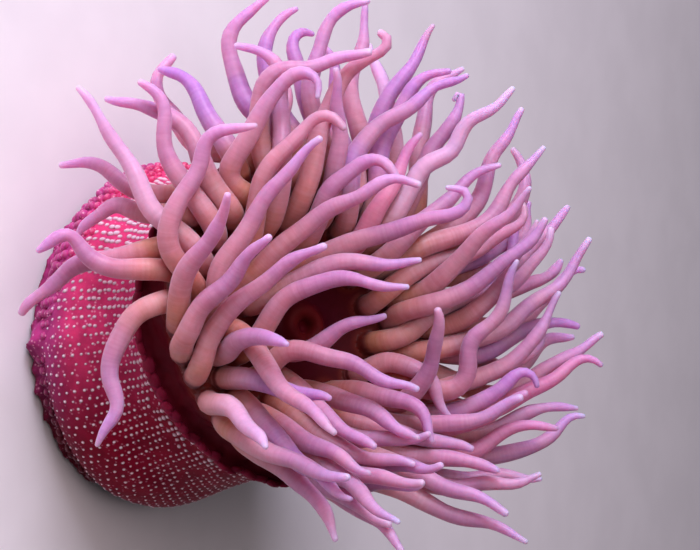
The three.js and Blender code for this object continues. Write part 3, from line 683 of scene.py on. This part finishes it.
def tentacle_rings(line, index):
    """The middle, radius and distance from the root of each ring of a tentacle's skin."""
    start = line[0] + HEEL_DEPTH * unit(line[0] - line[1])
    curve = curve_through(np.concatenate([[start], line]), LINE_PIECES)
    length = along(curve)[-1]
    tip = TENTACLE_TIP * varied(*TIP_SIZES, index, 5)
    body_rings = SKIN_RINGS - len(HEEL) - len(TIP_TURNS) + 1
    body = np.linspace(HEEL[-1][0], length - tip, body_rings + 1)[1:-1]
    round_tip = length - tip + tip * np.sin(TIP_TURNS)
    distance = np.concatenate([[mm for mm, _ in HEEL], body, round_tip])
    share = np.clip((distance - HEEL_DEPTH) / (length - HEEL_DEPTH), 0, 1)
    radius = tentacle_radius(share) + (tip - TENTACLE_TIP) * step(*NEAR_TIP, share)
    radius += FLARE * np.exp(-np.maximum(distance - SUNK, 0) / FLARE_LENGTH)
    places = [Vector((index * SWELLS_APART, mm / SWELLING_LENGTH, 0)) for mm in distance]
    swell = np.array([noise.noise(place) for place in places])
    most = SWELLING + SWELLING_AT_TIP * step(*SWELLS_MORE, share)
    radius *= varied(*TENTACLE_SIZES, index, 6) + most * swell
    radius[: len(HEEL)] *= [size for _, size in HEEL]
    radius[-len(TIP_TURNS) :] = radius[-len(TIP_TURNS)] * np.cos(TIP_TURNS)
    return at_distances(curve, distance), radius, distance - HEEL_DEPTH - SUNK, length


def carried_frames(middles):
    """Two directions across a line at each of its points, without twist."""
    way = unit(np.gradient(middles, axis=0))
    sides = []
    side = np.array([0.0, 0, 1])
    for direction in way:
        side = unit(side - direction * (side @ direction))
        sides.append(side)
    sides = np.array(sides)
    return sides, np.cross(way, sides), way


def swept(tube, middles, radii):
    """The tube's points with each ring moved to its middle and widened to its radius."""
    points = mesh_points(tube)
    ring = np.rint(points[:, 2]).astype(int)
    side, across, way = carried_frames(middles)
    places = middles[ring]
    places = places + side[ring] * (points[:, 0] * radii[ring])[:, None]
    places = places + across[ring] * (points[:, 1] * radii[ring])[:, None]
    ends = np.hypot(points[:, 0], points[:, 1]) < 0.5
    proud = np.where(ring == 0, -HEEL_POINT, TIP_POINT) * radii[ring] * ends
    return places + proud[:, None] * way[ring]


def shape(name, data):
    """An object of a mesh, light or camera, linked to the scene."""
    made = bpy.data.objects.new(name, data)
    bpy.context.scene.collection.objects.link(made)
    return made


def union(first, second, name):
    """The two objects joined into one closed mesh."""
    welding = first.modifiers.new("union", "BOOLEAN")
    welding.operation = "UNION"
    welding.solver = "MANIFOLD"
    welding.object = second
    bpy.context.view_layer.update()
    depsgraph = bpy.context.evaluated_depsgraph_get()
    mesh = bpy.data.meshes.new_from_object(first.evaluated_get(depsgraph))
    mesh.name = name
    for used in (first, second):
        bpy.data.objects.remove(used)
    return mesh


def tree_of(points):
    """A tree that finds the nearest of some points."""
    tree = KDTree(len(points))
    for index, point in enumerate(points):
        tree.insert(point, index)
    tree.balance()
    return tree


def root_fillets(mesh, roots):
    """Softens the skin where tentacles grow out of the disc."""
    tree = tree_of(roots)
    bm = bmesh.new()
    bm.from_mesh(mesh)
    near = [point for point in bm.verts if tree.find(point.co)[2] < FILLET_REACH]
    for _ in range(FILLET_ROUNDS):
        bmesh.ops.smooth_vert(
            bm, verts=near, factor=0.5, use_axis_x=True, use_axis_y=True, use_axis_z=True
        )
    bm.to_mesh(mesh)
    bm.free()


def write_values(mesh, **values):
    """Gives each point of a mesh its named numbers."""
    for name, numbers in values.items():
        attribute = mesh.attributes.new(name, "FLOAT", "POINT")
        attribute.data.foreach_set("value", np.asarray(numbers, np.float32).ravel())


PLACES = [(ring, place) for ring, (_, count, _) in enumerate(RINGS) for place in range(count)]
LINES = spaced(np.array([middle_line(ring, place) for ring, place in PLACES]))

# The tentacles that stand out from dusty rose, by ring and place.
LILAC = {
    (0, 14), (0, 17), (0, 18), (0, 19), (0, 21), (1, 3), (1, 6), (1, 8), (1, 9), (1, 12),
    (1, 13), (1, 24), (1, 25), (2, 9),
}
PINK = {(0, 3), (0, 6), (1, 2), (3, 5)}
PEACH = {(1, 15), (2, 11), (2, 13), (3, 3)}
PALE = {(0, 15), (0, 30), (2, 8), (1, 20)}


# (the tentacles of a tint, how much of it any tentacle may have)
TINTS = {"lilac": (LILAC, 0.35), "pink": (PINK, 0.2), "peach": (PEACH, 0.3), "pale": (PALE, 0.15)}
RING_NUMBERS = ("from_root", "reach", *TINTS, "seed")


def tentacle_tints(ring, place):
    """How lilac, pink, peach and pale a tentacle is."""
    index = ring * SEEDS_PER_RING + place
    return [
        ((ring, place) in those) + stray * scatter(index, 7 + k)
        for k, (those, stray) in enumerate(TINTS.values())
    ]


def all_tentacles():
    """One mesh of the tentacles' skins, and the middle, radius and numbers of each ring."""
    tube = unit_tube()
    bm = bmesh.new()
    stations = []
    for index, (where, line) in enumerate(zip(PLACES, LINES)):
        middles, radii, from_root, length = tentacle_rings(line, index)
        copy = moved_to(tube.copy(), swept(tube, middles, radii))
        bm.from_mesh(copy)
        bpy.data.meshes.remove(copy)
        tints = tentacle_tints(*where)
        for middle, radius, mm in zip(middles, radii, from_root):
            stations.append([*middle, radius, mm, max(mm, 0) / length, *tints, index])
    return meshed(bm, "tentacles"), np.array(stations)


def best_ring(tree, point, radii):
    """The tentacle ring that a point lies on best, and how far its middle is."""

    def missed(found):
        """How badly a ring fits the point."""
        index, far = found
        return abs(far - radii[index]) + NEARER_COUNTS * far

    return min([found[1:] for found in tree.find_n(point, RINGS_TRIED)], key=missed)


def on_tentacles(distance, radius, azimuth, proud):
    """1 where points are a tentacle's skin and 0 where they are the body's.

    They stand proud of the nearest tentacle's ring by so many mm.
    """
    straight = follow([(mm, wide) for wide, mm in COLUMN_OUTLINE + COLLAR_OUTLINE[1:-1]], distance)
    wall = straight * lobed(distance, azimuth) + skin_relief(distance, azimuth, straight)
    on_wall = (np.abs(radius - wall) < WALL_MISSED) & (distance < ROOTS_FROM)
    under_crown = distance < CROWN_HEIGHT + CROWN_FLOOR
    share = np.where(under_crown, 1, step(*TENTACLE_FADES, np.abs(proud)))
    return np.where(on_wall | (proud > TENTACLE_FADES[0]), 0, share)


def skin():
    """One closed skin over the whole animal, with the numbers that its colours follow."""
    tentacles, stations = all_tentacles()
    tentacles = shape("tentacles", tentacles)
    mesh = union(shape("body", body_mesh()), tentacles, "skin")
    root_fillets(mesh, [root_of(ring, place)[0] for ring, place in PLACES])
    points = mesh_points(mesh)
    tree = tree_of(stations[:, :3])
    nearest = np.array([best_ring(tree, point, stations[:, 3]) for point in points])
    found = stations[nearest[:, 0].astype(int)]
    distance, radius, azimuth, _, _ = by_spine(points)
    flat = radius / lobe(azimuth)
    write_values(
        mesh,
        tentacle=on_tentacles(distance, radius, azimuth, nearest[:, 1] - found[:, 3]),
        disc=step(*DISC_EDGE, flat) * step(*DISC_FROM, distance),
        height=distance,
        middle=flat,
        around=azimuth,
        **dict(zip(RING_NUMBERS, found[:, 4:].T)),
    )
    return mesh


# ---- warts, beads and frill -------------------------------------------------------------

# The sunny side is also where the wall's colour carries painted light; away from it the wall
# carries painted shade.
SUNNY_SIDE = math.radians(185)    # where the beads reach furthest and warts are largest
LOOSE = 0.18                      # share of its spacing that a spot may stray
LOOSER = 0.42                     # and so much more on the sunny side
SEEDS_PER_ROW = 31

WART_ROWS = 122
WART_PITCH = 2.9
WARTS_CLOSER = 0.30               # share by which they close up on the sunny side
WARTS_KEPT = 0.88                 # share of the places that have one, away from that side
WARTS_TO = 69
WART_RADIUS = 0.31
WART_WIDER_UP = 0.29              # by the collar
WARTS_WIDEN = (48, 66)            # mm along the spine
WART_WIDER_SUNNY = 0.24
WART_WIDEST = 0.58
WART_SIZES = (0.8, 1.2)
WART_LENGTHS = (1.05, 1.2)        # shares of its width
WART_LONGER_SUNNY = 0.65
WART_RISE = 0.85
WART_LEANING = 0.6                # radians that a wart's long way lies off the wall's
LEANINGS = (0.1, 1.1)
# (radius, height, how white) in shares of a wart's radius, from its soft skirt to its top
WART_OUTLINE = [
    (2.1, -0.25, 0), (1.22, 0.2, 0.4), (0.98, 0.6, 1), (0.66, 0.98, 1), (0, 1.12, 1),
]

BEAD_ROWS = 94
BEAD_PITCH = 2.4
BEAD_SEEDS = 5000
BEADS_FROM = 5.2
BEADS_TO = 8
BEADS_FURTHER = 19                # on the sunny side
BEAD_RADIUS = 1.85
BEAD_LENGTH = 0.74                # share of its width
BEADS_SHRINK = 0.38               # share, up the wall
BEADS_SHADED = 0.75               # their size away from the sunny side
ON_FOOT_LOBE = 0.2
BEAD_OUTLINE = [
    (1.1, -0.7, 0), (1.14, -0.15, 0), (1.06, 0.35, 0), (0.82, 0.74, 0), (0.45, 0.95, 0.1),
    (0, 1.0, 0.16),
]

FRILL_LOBES = 66
FRILL_AT = 71.6
FRILL_STEP = 0.9                  # mm from one row of lobes to the other
FRILL_STRAY = 0.5
FRILL_WIDTH = 2.5
FRILL_LENGTHS = (2.0, 2.9)
FRILL_RISE = 1.3
FRILL_OUTLINE = [(1, -0.6, 0), (1.06, 0, 0), (0.92, 0.5, 0), (0.55, 0.88, 0), (0, 1, 0)]

FORM_SIDES = 8
UNEVEN = (0.85, 1.15)             # sizes of beads and of the frill's lobes
PATCH = 0.004                     # how large a small form is on its piece's map
WALL_SPACING = 0.5
NEARBY = 0.4                      # mm, to tell which way the wall faces
NEARBY_TURN = 0.01


def wall_place(distance, azimuth):
    """Where the wall is at spine distances and azimuths, its way outwards and upwards."""
    outline = evenly(COLUMN_OUTLINE, WALL_SPACING)
    collar = evenly(COLLAR_OUTLINE, WALL_SPACING)
    rows = np.concatenate([outline, collar[1:]])
    rising = rows[np.concatenate([[True], np.diff(np.maximum.accumulate(rows[:, 1])) > 0])]

    def point(mm, turn):
        """Places on the wall itself."""
        return bent_to_body(np.interp(mm, rising[:, 1], rising[:, 0]), turn, mm)

    here = point(distance, azimuth)
    up = unit(point(distance + NEARBY, azimuth) - point(distance - NEARBY, azimuth))
    on, back = (point(distance, azimuth + turn) for turn in (NEARBY_TURN, -NEARBY_TURN))
    return here, unit(np.cross(unit(on - back), up)), up


def small_form(outline, name):
    """A small lathed form, closed under its skirt, and how white each point is."""
    rows = [(0, outline[0][1])] + [(radius, height) for radius, height, _ in outline]
    mesh = lathed(rows, FORM_SIDES, name)
    heights = [height for _, height, _ in outline]
    white = np.interp(mesh_points(mesh)[:, 2], heights, [w for _, _, w in outline])
    return mesh, white


def studded(name, outline, places):
    """One mesh of small forms: a spot, three directions, a size and a place for each."""
    form, white = small_form(outline, name)
    bm = bmesh.new()
    for here, out, up, across, (width, length, rise), _ in places:
        matrix = Matrix((across * width, up * length, out * rise)).transposed().to_4x4()
        matrix.translation = here
        copy = form.copy()
        copy.transform(matrix)
        bm.from_mesh(copy)
        bpy.data.meshes.remove(copy)
    mesh = meshed(bm, name)
    height, around = np.repeat([place for *_, place in places], len(form.vertices), axis=0).T
    write_values(mesh, pearl=np.tile(white, len(places)), height=height, around=around)
    spread = np.tile(mesh_points(form)[:, :2] / outline[0][0], (len(places), 1)) / 2
    patch = np.stack([around / (2 * math.pi) % 1, height / CROWN_HEIGHT], -1)
    write_map(mesh, patch + PATCH * spread)
    return mesh


def write_map(mesh, places):
    """Gives a mesh a UV map named OFBake, from a place for each point."""
    layer = mesh.uv_layers.new(name="OFBake")
    corners = np.empty(len(mesh.loops), np.int32)
    mesh.loops.foreach_get("vertex_index", corners)
    layer.uv.foreach_set("vector", places[corners].astype(np.float32).ravel())


def sunny(azimuth):
    """1 on the sunny side and 0 on the half of the wall away from it."""
    return max(0, math.cos(azimuth - SUNNY_SIDE))


def spots(count, pitch, start, end, seed, closer=0.0):
    """Distances and azimuths in staggered rows along the wall, each a little out of place."""
    found = []
    for row in range(count):
        turn = 2 * math.pi * row / count
        first, last = start(turn), end(turn)
        loose = LOOSE + LOOSER * sunny(turn) ** 2
        spacing = pitch * (1 - closer * sunny(turn))
        for n in range(int((last - first) / spacing) + 1):
            index = seed + row * SEEDS_PER_ROW + n
            further, beside = (loose * varied(-0.5, 0.5, index, channel) for channel in (1, 2))
            mm = first + (n + 0.5 * (row % 2) + further) * spacing
            if mm <= last:
                found.append((mm, turn + beside * 2 * math.pi / count, index))
    return found


def placed(found, size, leaning=0.0):
    """Spots on the wall with their three directions and the size of each one's form."""
    mm, turn, index = (np.array(column) for column in zip(*found))
    here, out, up = wall_place(mm, turn)
    lean = leaning * np.array([varied(*LEANINGS, one, 6) for one in index])[:, None]
    up = up * np.cos(lean) + np.cross(out, up) * np.sin(lean)
    across = np.cross(up, out)
    return [
        tuple(map(Vector, directions)) + (size(*spot), spot[:2])
        for *directions, spot in zip(here, out, up, across, found)
    ]


def beads_end(azimuth):
    """How far up the wall the beads reach."""
    return BEADS_TO + BEADS_FURTHER * sunny(azimuth)


def wart_size(distance, azimuth, index):
    """Width, length and rise of a wart's unit: largest just under the collar."""
    radius = WART_RADIUS + WART_WIDER_SUNNY * sunny(azimuth)
    radius += WART_WIDER_UP * step(*WARTS_WIDEN, distance)
    radius = min(radius, WART_WIDEST) * varied(*WART_SIZES, index, 3)
    least, most = WART_LENGTHS
    longer = varied(least, most + WART_LONGER_SUNNY * sunny(azimuth), index, 4)
    return radius, radius * longer, radius * WART_RISE


def bead_size(distance, azimuth, index):
    """Width, length and rise of a bead's unit: smaller up the wall."""
    radius = BEAD_RADIUS * (BEADS_SHADED + (1 - BEADS_SHADED) * sunny(azimuth))
    radius *= 1 - BEADS_SHRINK * step(BEADS_FROM + 2, beads_end(azimuth), distance)
    radius *= varied(*UNEVEN, index, 3)
    return radius, radius * BEAD_LENGTH, radius * varied(*UNEVEN, index, 4)


def frill_size(distance, azimuth, index):
    """Width, length and rise of a lobe of the frill."""
    width = FRILL_WIDTH * varied(*UNEVEN, index, 3)
    return width, varied(*FRILL_LENGTHS, index, 4), FRILL_RISE


def warts():
    """The white warts, in rows from the beads to the collar."""
    found = spots(WART_ROWS, WART_PITCH, beads_end, lambda turn: WARTS_TO, 0, WARTS_CLOSER)
    kept = [
        spot for spot in found
        if scatter(spot[2], 5) < WARTS_KEPT + (1 - WARTS_KEPT) * sunny(spot[1])
    ]
    return studded("warts", WART_OUTLINE, placed(kept, wart_size, WART_LEANING))


def beads():
    """The crowded beads round the edge of the foot."""
    found = spots(BEAD_ROWS, BEAD_PITCH, lambda turn: BEADS_FROM, beads_end, BEAD_SEEDS)
    kept = [spot for spot in found if foot_lobe(*spot[:2]) < ON_FOOT_LOBE]
    return studded("limbus_beads", BEAD_OUTLINE, placed(kept, bead_size))


def frill():
    """The scalloped edge of the collar, in two overlapping rows of soft lobes."""
    found = []
    for index in range(2 * FRILL_LOBES):
        mm = FRILL_AT + FRILL_STEP * (index % 2) + FRILL_STRAY * varied(-0.5, 0.5, index, 1)
        turn = math.pi * (index + FRILL_STRAY * scatter(index, 2)) / FRILL_LOBES
        found.append((mm, turn, index))
    return studded("collar_frill", FRILL_OUTLINE, placed(found, frill_size))


# ---- finishes ---------------------------------------------------------------------------


class Finish:
    """A material that is built up node by node."""

    def __init__(self, name):
        self.material = bpy.data.materials.new(name)
        self.material.use_nodes = True
        self.nodes = self.material.node_tree.nodes
        self.links = self.material.node_tree.links
        self.shader = self.nodes["Principled BSDF"]

    def give(self, socket, value):
        """Joins another node's output to a socket, or sets the socket to a value."""
        if hasattr(value, "is_linked"):
            self.links.new(value, socket)
        else:
            socket.default_value = value

    def node(self, kind, **given):
        """A node of a kind, with some of its sockets given by name."""
        made = self.nodes.new(kind)
        for name, value in given.items():
            self.give(made.inputs[name], value)
        return made

    def number(self, name):
        """One of the numbers on the piece's points."""
        node = self.node("ShaderNodeAttribute")
        node.attribute_name = name
        return node.outputs["Fac"]

    def place(self):
        """Where a point is on the piece, in metres."""
        return self.node("ShaderNodeTexCoord").outputs["Object"]

    def maths(self, operation, first, second=0.0, clamp=False):
        """The result of a sum of one or two numbers."""
        node = self.node("ShaderNodeMath")
        node.operation = operation
        node.use_clamp = clamp
        self.give(node.inputs[0], first)
        self.give(node.inputs[1], second)
        return node.outputs[0]

    def times(self, first, second):
        """The product of two numbers, from 0 to 1."""
        return self.maths("MULTIPLY", first, second, True)

    def between(self, value, low, high, to_low=0.0, to_high=1.0):
        """Smoothly from to_low to to_high as a value goes from low to high."""
        node = self.node("ShaderNodeMapRange")
        node.interpolation_type = "SMOOTHSTEP"
        for socket, given in zip(node.inputs, (value, low, high, to_low, to_high)):
            self.give(socket, given)
        return node.outputs[0]

    def ramp(self, value, stops):
        """Smoothly through the colours of (value, colour) stops."""
        node = self.node("ShaderNodeValToRGB", Fac=value)
        node.color_ramp.interpolation = "EASE"
        elements = node.color_ramp.elements
        for element, (where, colour) in zip(elements, (stops[0], stops[-1])):
            element.position = where
            element.color = (*colour, 1)
        for where, colour in stops[1:-1]:
            elements.new(where).color = (*colour, 1)
        return node.outputs[0]

    def mix(self, factor, first, second, blend="MIX"):
        """The first colour at a factor of 0, and the second at 1."""
        node = self.node("ShaderNodeMix")
        node.data_type = "RGBA"
        node.blend_type = blend
        for index, given in zip(MIX_SOCKETS, (factor, first, second)):
            self.give(node.inputs[index], (*given, 1) if isinstance(given, tuple) else given)
        return node.outputs[2]

    def noise(self, vector, scale, detail=3.0, roughness=0.5):
        """Smooth noise at a place, from 0 to 1."""
        given = {"Vector": vector, "Scale": scale, "Detail": detail, "Roughness": roughness}
        return self.node("ShaderNodeTexNoise", **given).outputs["Fac"]

    def dots(self, vector, scale):
        """How far a place is from the nearest of many scattered points."""
        return self.node("ShaderNodeTexVoronoi", Vector=vector, Scale=scale).outputs["Distance"]

    def tentacle_place(self, per_mm):
        """Where noise is read on a tentacle, so that it lies across it in bands."""
        along_it = self.maths("MULTIPLY", self.number("from_root"), per_mm)
        own = self.maths("MULTIPLY", self.number("seed"), BANDS_APART)
        return self.node("ShaderNodeCombineXYZ", X=along_it, Y=own).outputs[0]

    def bump(self, height, strength, distance):
        """The way that the surface faces when a height raises it."""
        given = {"Height": height, "Strength": strength, "Distance": distance}
        return self.node("ShaderNodeBump", **given).outputs[0]


MIX_SOCKETS = (0, 6, 7)           # the factor and the two colours of a colour mix
BANDS_APART = 7.3                 # so that no two tentacles are banded alike

FOOT_RED = (0.10, 0.003, 0.012)
MAGENTA = (0.46, 0.05, 0.22)
HOT_PINK = (0.74, 0.055, 0.19)
ROSE_RED = (0.25, 0.006, 0.027)
CRIMSON = (0.25, 0.005, 0.021)
FRILL_ROSE = (0.26, 0.014, 0.050)
COLLAR_MAROON = (0.10, 0.003, 0.009)
BLOTCH = (0.05, 0.002, 0.01)
SPECK = (0.80, 0.36, 0.50)
PEARL = (0.88, 0.64, 0.70)

ROOT_MAROON = (0.11, 0.012, 0.009)
AMBER = (0.42, 0.19, 0.08)
VIOLET = (0.29, 0.15, 0.46)
CREAM = (0.52, 0.28, 0.34)
WARM_PINK = (0.70, 0.12, 0.26)
PEACH_SKIN = (0.50, 0.20, 0.16)
NEARLY_WHITE = (0.64, 0.44, 0.62)
PALE_BAND = (0.9, 0.72, 0.88)

# (distance along the spine in shares of WALL_SHARE, colour): painted shade away from the light,
# painted light in it
WALL_SHARE = 100.0
COLLAR_STOPS = [(0.75, COLLAR_MAROON), (0.80, COLLAR_MAROON), (0.87, (0.16, 0.02, 0.012))]
SHADED_WALL = [
    (0.0, FOOT_RED), (0.05, (0.10, 0.003, 0.013)), (0.12, (0.19, 0.006, 0.026)),
    (0.22, ROSE_RED), (0.50, ROSE_RED), (0.68, CRIMSON), (0.715, FRILL_ROSE), *COLLAR_STOPS,
]
LIT_WALL = [
    (0.0, FOOT_RED), (0.04, MAGENTA), (0.12, MAGENTA), (0.22, HOT_PINK), (0.66, HOT_PINK),
    (0.705, FRILL_ROSE), *COLLAR_STOPS,
]
# painted light and shade: the wall turns from its painted-shade copy to its painted-light copy over
# these cosines
IN_LIGHT = (-0.55, 0.30)          # cosines of the turn from the sunny side
# (distance from the mouth in shares of DISC_SHARE, colour)
DISC_SHARE = 50.0
DISC_COLOURS = [
    (0.0, (0.07, 0.005, 0.006)), (0.09, (0.11, 0.008, 0.009)), (0.17, (0.05, 0.0015, 0.006)),
    (0.5, (0.07, 0.004, 0.005)), (0.8, (0.14, 0.015, 0.009)), (0.9, (0.14, 0.015, 0.011)),
]
SPECKS_TO = (70.0, 66.0)          # mm along the spine
# (share of a tentacle's length, colour)
TENTACLE_COLOURS = [
    (0.0, (0.18, 0.028, 0.014)), (0.05, (0.36, 0.11, 0.06)), (0.14, (0.44, 0.175, 0.135)),
    (0.34, (0.41, 0.18, 0.21)), (0.62, (0.36, 0.175, 0.31)), (0.88, (0.43, 0.24, 0.48)),
    (1.0, (0.74, 0.52, 0.74)),
]

# How many lumps of noise there are to a metre.
AMBER_PATCHES = 95.0
BLOTCHES = 130.0
SOFTNESS = 420.0
SPECKS = 620.0
GRAIN = 1500.0
FLOOR_GRAIN = 30.0
# And to a millimetre along a tentacle.
CREAMY_BANDS = 0.05
FINE_BANDS = 0.8
WRINKLES = 0.9

SCATTERING = (1.0, 0.42, 0.45)    # how far red, green and blue light go in flesh, in shares
SHEEN_TINT = (0.86, 0.76, 1.0, 1)
LIGHTENING = (1.5, 1.35, 1.4)
GLOSS = (0.36, 0.50)              # the least and the most roughness
WRINKLE_DEPTH = 0.0004
WRINKLE_STRENGTH = 0.15
FLOOR_GREYS = (0.80, 0.79, 0.80), (0.84, 0.83, 0.84)


def wall_colour(finish):
    """The colour of the foot, column, collar and disc, with painted light on the sunny side of the
    wall and painted shade away from it.
    """
    share = finish.maths("DIVIDE", finish.number("height"), WALL_SHARE)
    # painted light and shade: 1 where the wall is painted lit and 0 where it is painted shaded, by
    # its turn from the sunny side
    turned = finish.maths("SUBTRACT", finish.number("around"), SUNNY_SIDE)
    lit_side = finish.between(finish.maths("COSINE", turned), *IN_LIGHT)
    wall = finish.mix(lit_side, finish.ramp(share, SHADED_WALL), finish.ramp(share, LIT_WALL))
    out = finish.maths("DIVIDE", finish.number("middle"), DISC_SHARE)
    wall = finish.mix(finish.number("disc"), wall, finish.ramp(out, DISC_COLOURS))
    blotches = finish.noise(finish.place(), BLOTCHES, 4.0, 0.6)
    wall = finish.mix(finish.between(blotches, 0.35, 0.7, 0.0, 0.35), wall, BLOTCH)
    specks = finish.between(finish.dots(finish.place(), SPECKS), 0.30, 0.12, 0.0, 0.75)
    # painted light: the pale specks are drawn at full strength on the lit side and fainter on the
    # painted-shade side
    specks = finish.times(specks, finish.between(lit_side, 0.0, 1.0, 0.35, 1.0))
    on_wall = finish.between(finish.number("height"), *SPECKS_TO)
    return finish.mix(finish.times(specks, on_wall), wall, SPECK)


def tentacle_colour(finish):
    """The colour of a tentacle, from its amber root to its pale tip."""
    reach = finish.number("reach")
    colour = finish.ramp(reach, TENTACLE_COLOURS)
    patches = finish.between(finish.noise(finish.place(), AMBER_PATCHES, 3.0, 0.6), 0.42, 0.62)
    near_root = finish.between(reach, 0.02, 0.45, 0.8, 0.0)
    rooted = finish.times(finish.between(reach, 0.0, 0.06), near_root)
    colour = finish.mix(finish.times(patches, rooted), colour, AMBER)
    outer = finish.between(reach, 0.05, 0.45)
    lilac = finish.times(finish.number("lilac"), outer)
    colour = finish.mix(finish.times(lilac, 0.75), colour, VIOLET)
    creamy = finish.noise(finish.tentacle_place(CREAMY_BANDS), 1.0, 2.0, 0.5)
    colour = finish.mix(finish.between(creamy, 0.42, 0.72, 0.0, 0.6), colour, CREAM)
    colour = finish.mix(finish.times(finish.number("pink"), 0.35), colour, WARM_PINK)
    colour = finish.mix(finish.times(finish.number("peach"), 0.4), colour, PEACH_SKIN)
    pale = finish.times(finish.number("pale"), outer)
    colour = finish.mix(finish.times(pale, 0.45), colour, NEARLY_WHITE)
    bands = finish.noise(finish.tentacle_place(FINE_BANDS), 1.0, 2.0, 0.6)
    bands = finish.times(finish.between(bands, 0.3, 0.7), 0.06)
    colour = finish.mix(bands, colour, PALE_BAND)
    return finish.mix(finish.between(reach, 0.06, 0.0), colour, ROOT_MAROON)


def flesh(name, ior, coat, sheen, depth, scatter_length):
    """Moist flesh: the numbers on a piece's points say which part of the animal it is."""
    finish = Finish(name)
    tentacle = finish.number("tentacle")
    colour = finish.mix(tentacle, wall_colour(finish), tentacle_colour(finish))
    place = finish.place()
    soft = finish.noise(place, SOFTNESS)
    lighter = finish.between(soft, 0.3, 0.75, 0.0, 0.25)
    colour = finish.mix(lighter, colour, LIGHTENING, "MULTIPLY")
    colour = finish.mix(finish.number("pearl"), colour, PEARL)
    wrinkles = finish.noise(finish.tentacle_place(WRINKLES), 1.0, 3.0, 0.6)
    wrinkles = finish.maths("MULTIPLY", wrinkles, tentacle)
    height = finish.maths("ADD", wrinkles, finish.noise(place, GRAIN, 2.0))
    sockets = {
        "Base Color": colour,
        "Roughness": finish.between(soft, 0.2, 0.8, *GLOSS),
        "Normal": finish.bump(height, WRINKLE_STRENGTH, WRINKLE_DEPTH),
        "IOR": ior,
        "Coat Weight": coat,
        "Coat Roughness": 0.22,
        "Sheen Weight": sheen,
        "Sheen Roughness": 0.35,
        "Sheen Tint": SHEEN_TINT,
        "Subsurface Weight": depth,
        "Subsurface Scale": scatter_length,
        "Subsurface Radius": SCATTERING,
    }
    for socket, value in sockets.items():
        finish.give(finish.shader.inputs[socket], value)
    return finish.material


def floor_finish():
    """A plain, pale, matt floor."""
    finish = Finish("pale_floor")
    grain = finish.between(finish.noise(finish.place(), FLOOR_GRAIN), 0.3, 0.7)
    colour = finish.mix(grain, *FLOOR_GREYS)
    finish.give(finish.shader.inputs["Base Color"], colour)
    finish.shader.inputs["Roughness"].default_value = 0.9
    return finish.material


# ---- pieces, floor, light and camera ----------------------------------------------------

IMAGE_WIDTH = 700
PIXEL = 0.30                      # mm at the aim
NEAREST_SHOWN = 0.01              # metres from the camera
FLOOR_HALF = 4
SHARE_IN_FINISH = 0.9             # how much a face's points must be a tentacle's

# name: (offset from the crown in metres, size in metres, power in watts, colour)
LIGHTS = {
    "key": ((-0.74, -0.34, 0.34), 0.50, 9.6, (0.86, 0.80, 1.0)),
    "front": ((-0.30, -0.45, 0.72), 0.8, 5.6, (1.0, 0.82, 0.86)),
}
AIR_COLOUR = (0.80, 0.78, 0.85, 1)
AIR_STRENGTH = 0.085


def piece(name, mesh, material):
    """A finished piece: its mesh in metres, smooth, in one finish and riding on the body."""
    mesh.transform(Matrix.Scale(MM, 4))
    mesh.materials.clear()
    mesh.materials.append(material)
    mesh.shade_smooth()
    made = shape(name, mesh)
    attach(made, "root")
    return made


def with_tentacles(mesh, material):
    """Gives the skin's faces on the tentacles a finish of their own."""
    mesh.materials.append(material)
    on_tentacle = np.empty(len(mesh.vertices), np.float32)
    mesh.attributes["tentacle"].data.foreach_get("value", on_tentacle)
    for face in mesh.polygons:
        face.material_index = int(on_tentacle[list(face.vertices)].min() > SHARE_IN_FINISH)


def floor():
    """The plain floor that the animal stands on."""
    bm = bmesh.new()
    bmesh.ops.create_grid(bm, x_segments=1, y_segments=1, size=FLOOR_HALF)
    made = shape("floor", meshed(bm, "floor"))
    made.data.materials.append(floor_finish())


def soft_light(name, offset, size, power, colour):
    """An area light at an offset from the crown in metres, shining at the crown."""
    data = bpy.data.lights.new(name, "AREA")
    data.shape = "DISK"
    data.size = size
    data.energy = power
    data.color = colour
    made = shape(name, data)
    made.location = Vector(CROWN * MM) + Vector(offset)
    made.rotation_euler = Vector(offset).to_track_quat("Z", "Y").to_euler()


def air():
    """The dim, even light from all round."""
    world = bpy.data.worlds.new("studio")
    world.use_nodes = True
    background = world.node_tree.nodes["Background"]
    background.inputs["Color"].default_value = AIR_COLOUR
    background.inputs["Strength"].default_value = AIR_STRENGTH
    bpy.context.scene.world = world


def camera():
    """A camera with +Z of the model to its right, as far off as the view is set out for."""
    data = bpy.data.cameras.new("camera")
    data.lens = data.sensor_width * VIEW_DISTANCE / (IMAGE_WIDTH * PIXEL)
    data.clip_start = NEAREST_SHOWN
    made = shape("camera", data)
    axes = Matrix((RIGHT, UP, TOWARD)).transposed().to_4x4()
    axes.translation = (AIM + VIEW_DISTANCE * TOWARD) * MM
    made.matrix_world = axes
    bpy.context.scene.camera = made


BODY = flesh("body_flesh", 1.12, 0.0, 0.0, 0.5, 0.0022)
TENTACLES = flesh("tentacle_flesh", 1.28, 0.08, 0.14, 1.0, 0.011)
PEARLY = flesh("wart_pearl", 1.3, 0.1, 0.0, 0.5, 0.0012)
BEADED = flesh("bead_flesh", 1.3, 0.1, 0.05, 0.5, 0.0015)

whole = piece("skin", skin(), BODY)
with_tentacles(whole.data, TENTACLES)
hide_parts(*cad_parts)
piece("warts", warts(), PEARLY)
piece("limbus_beads", beads(), BEADED)
piece("collar_frill", frill(), BODY)

floor()
camera()
for name, light in LIGHTS.items():
    soft_light(name, *light)
air()
bpy.context.scene.view_settings.view_transform = "Standard"
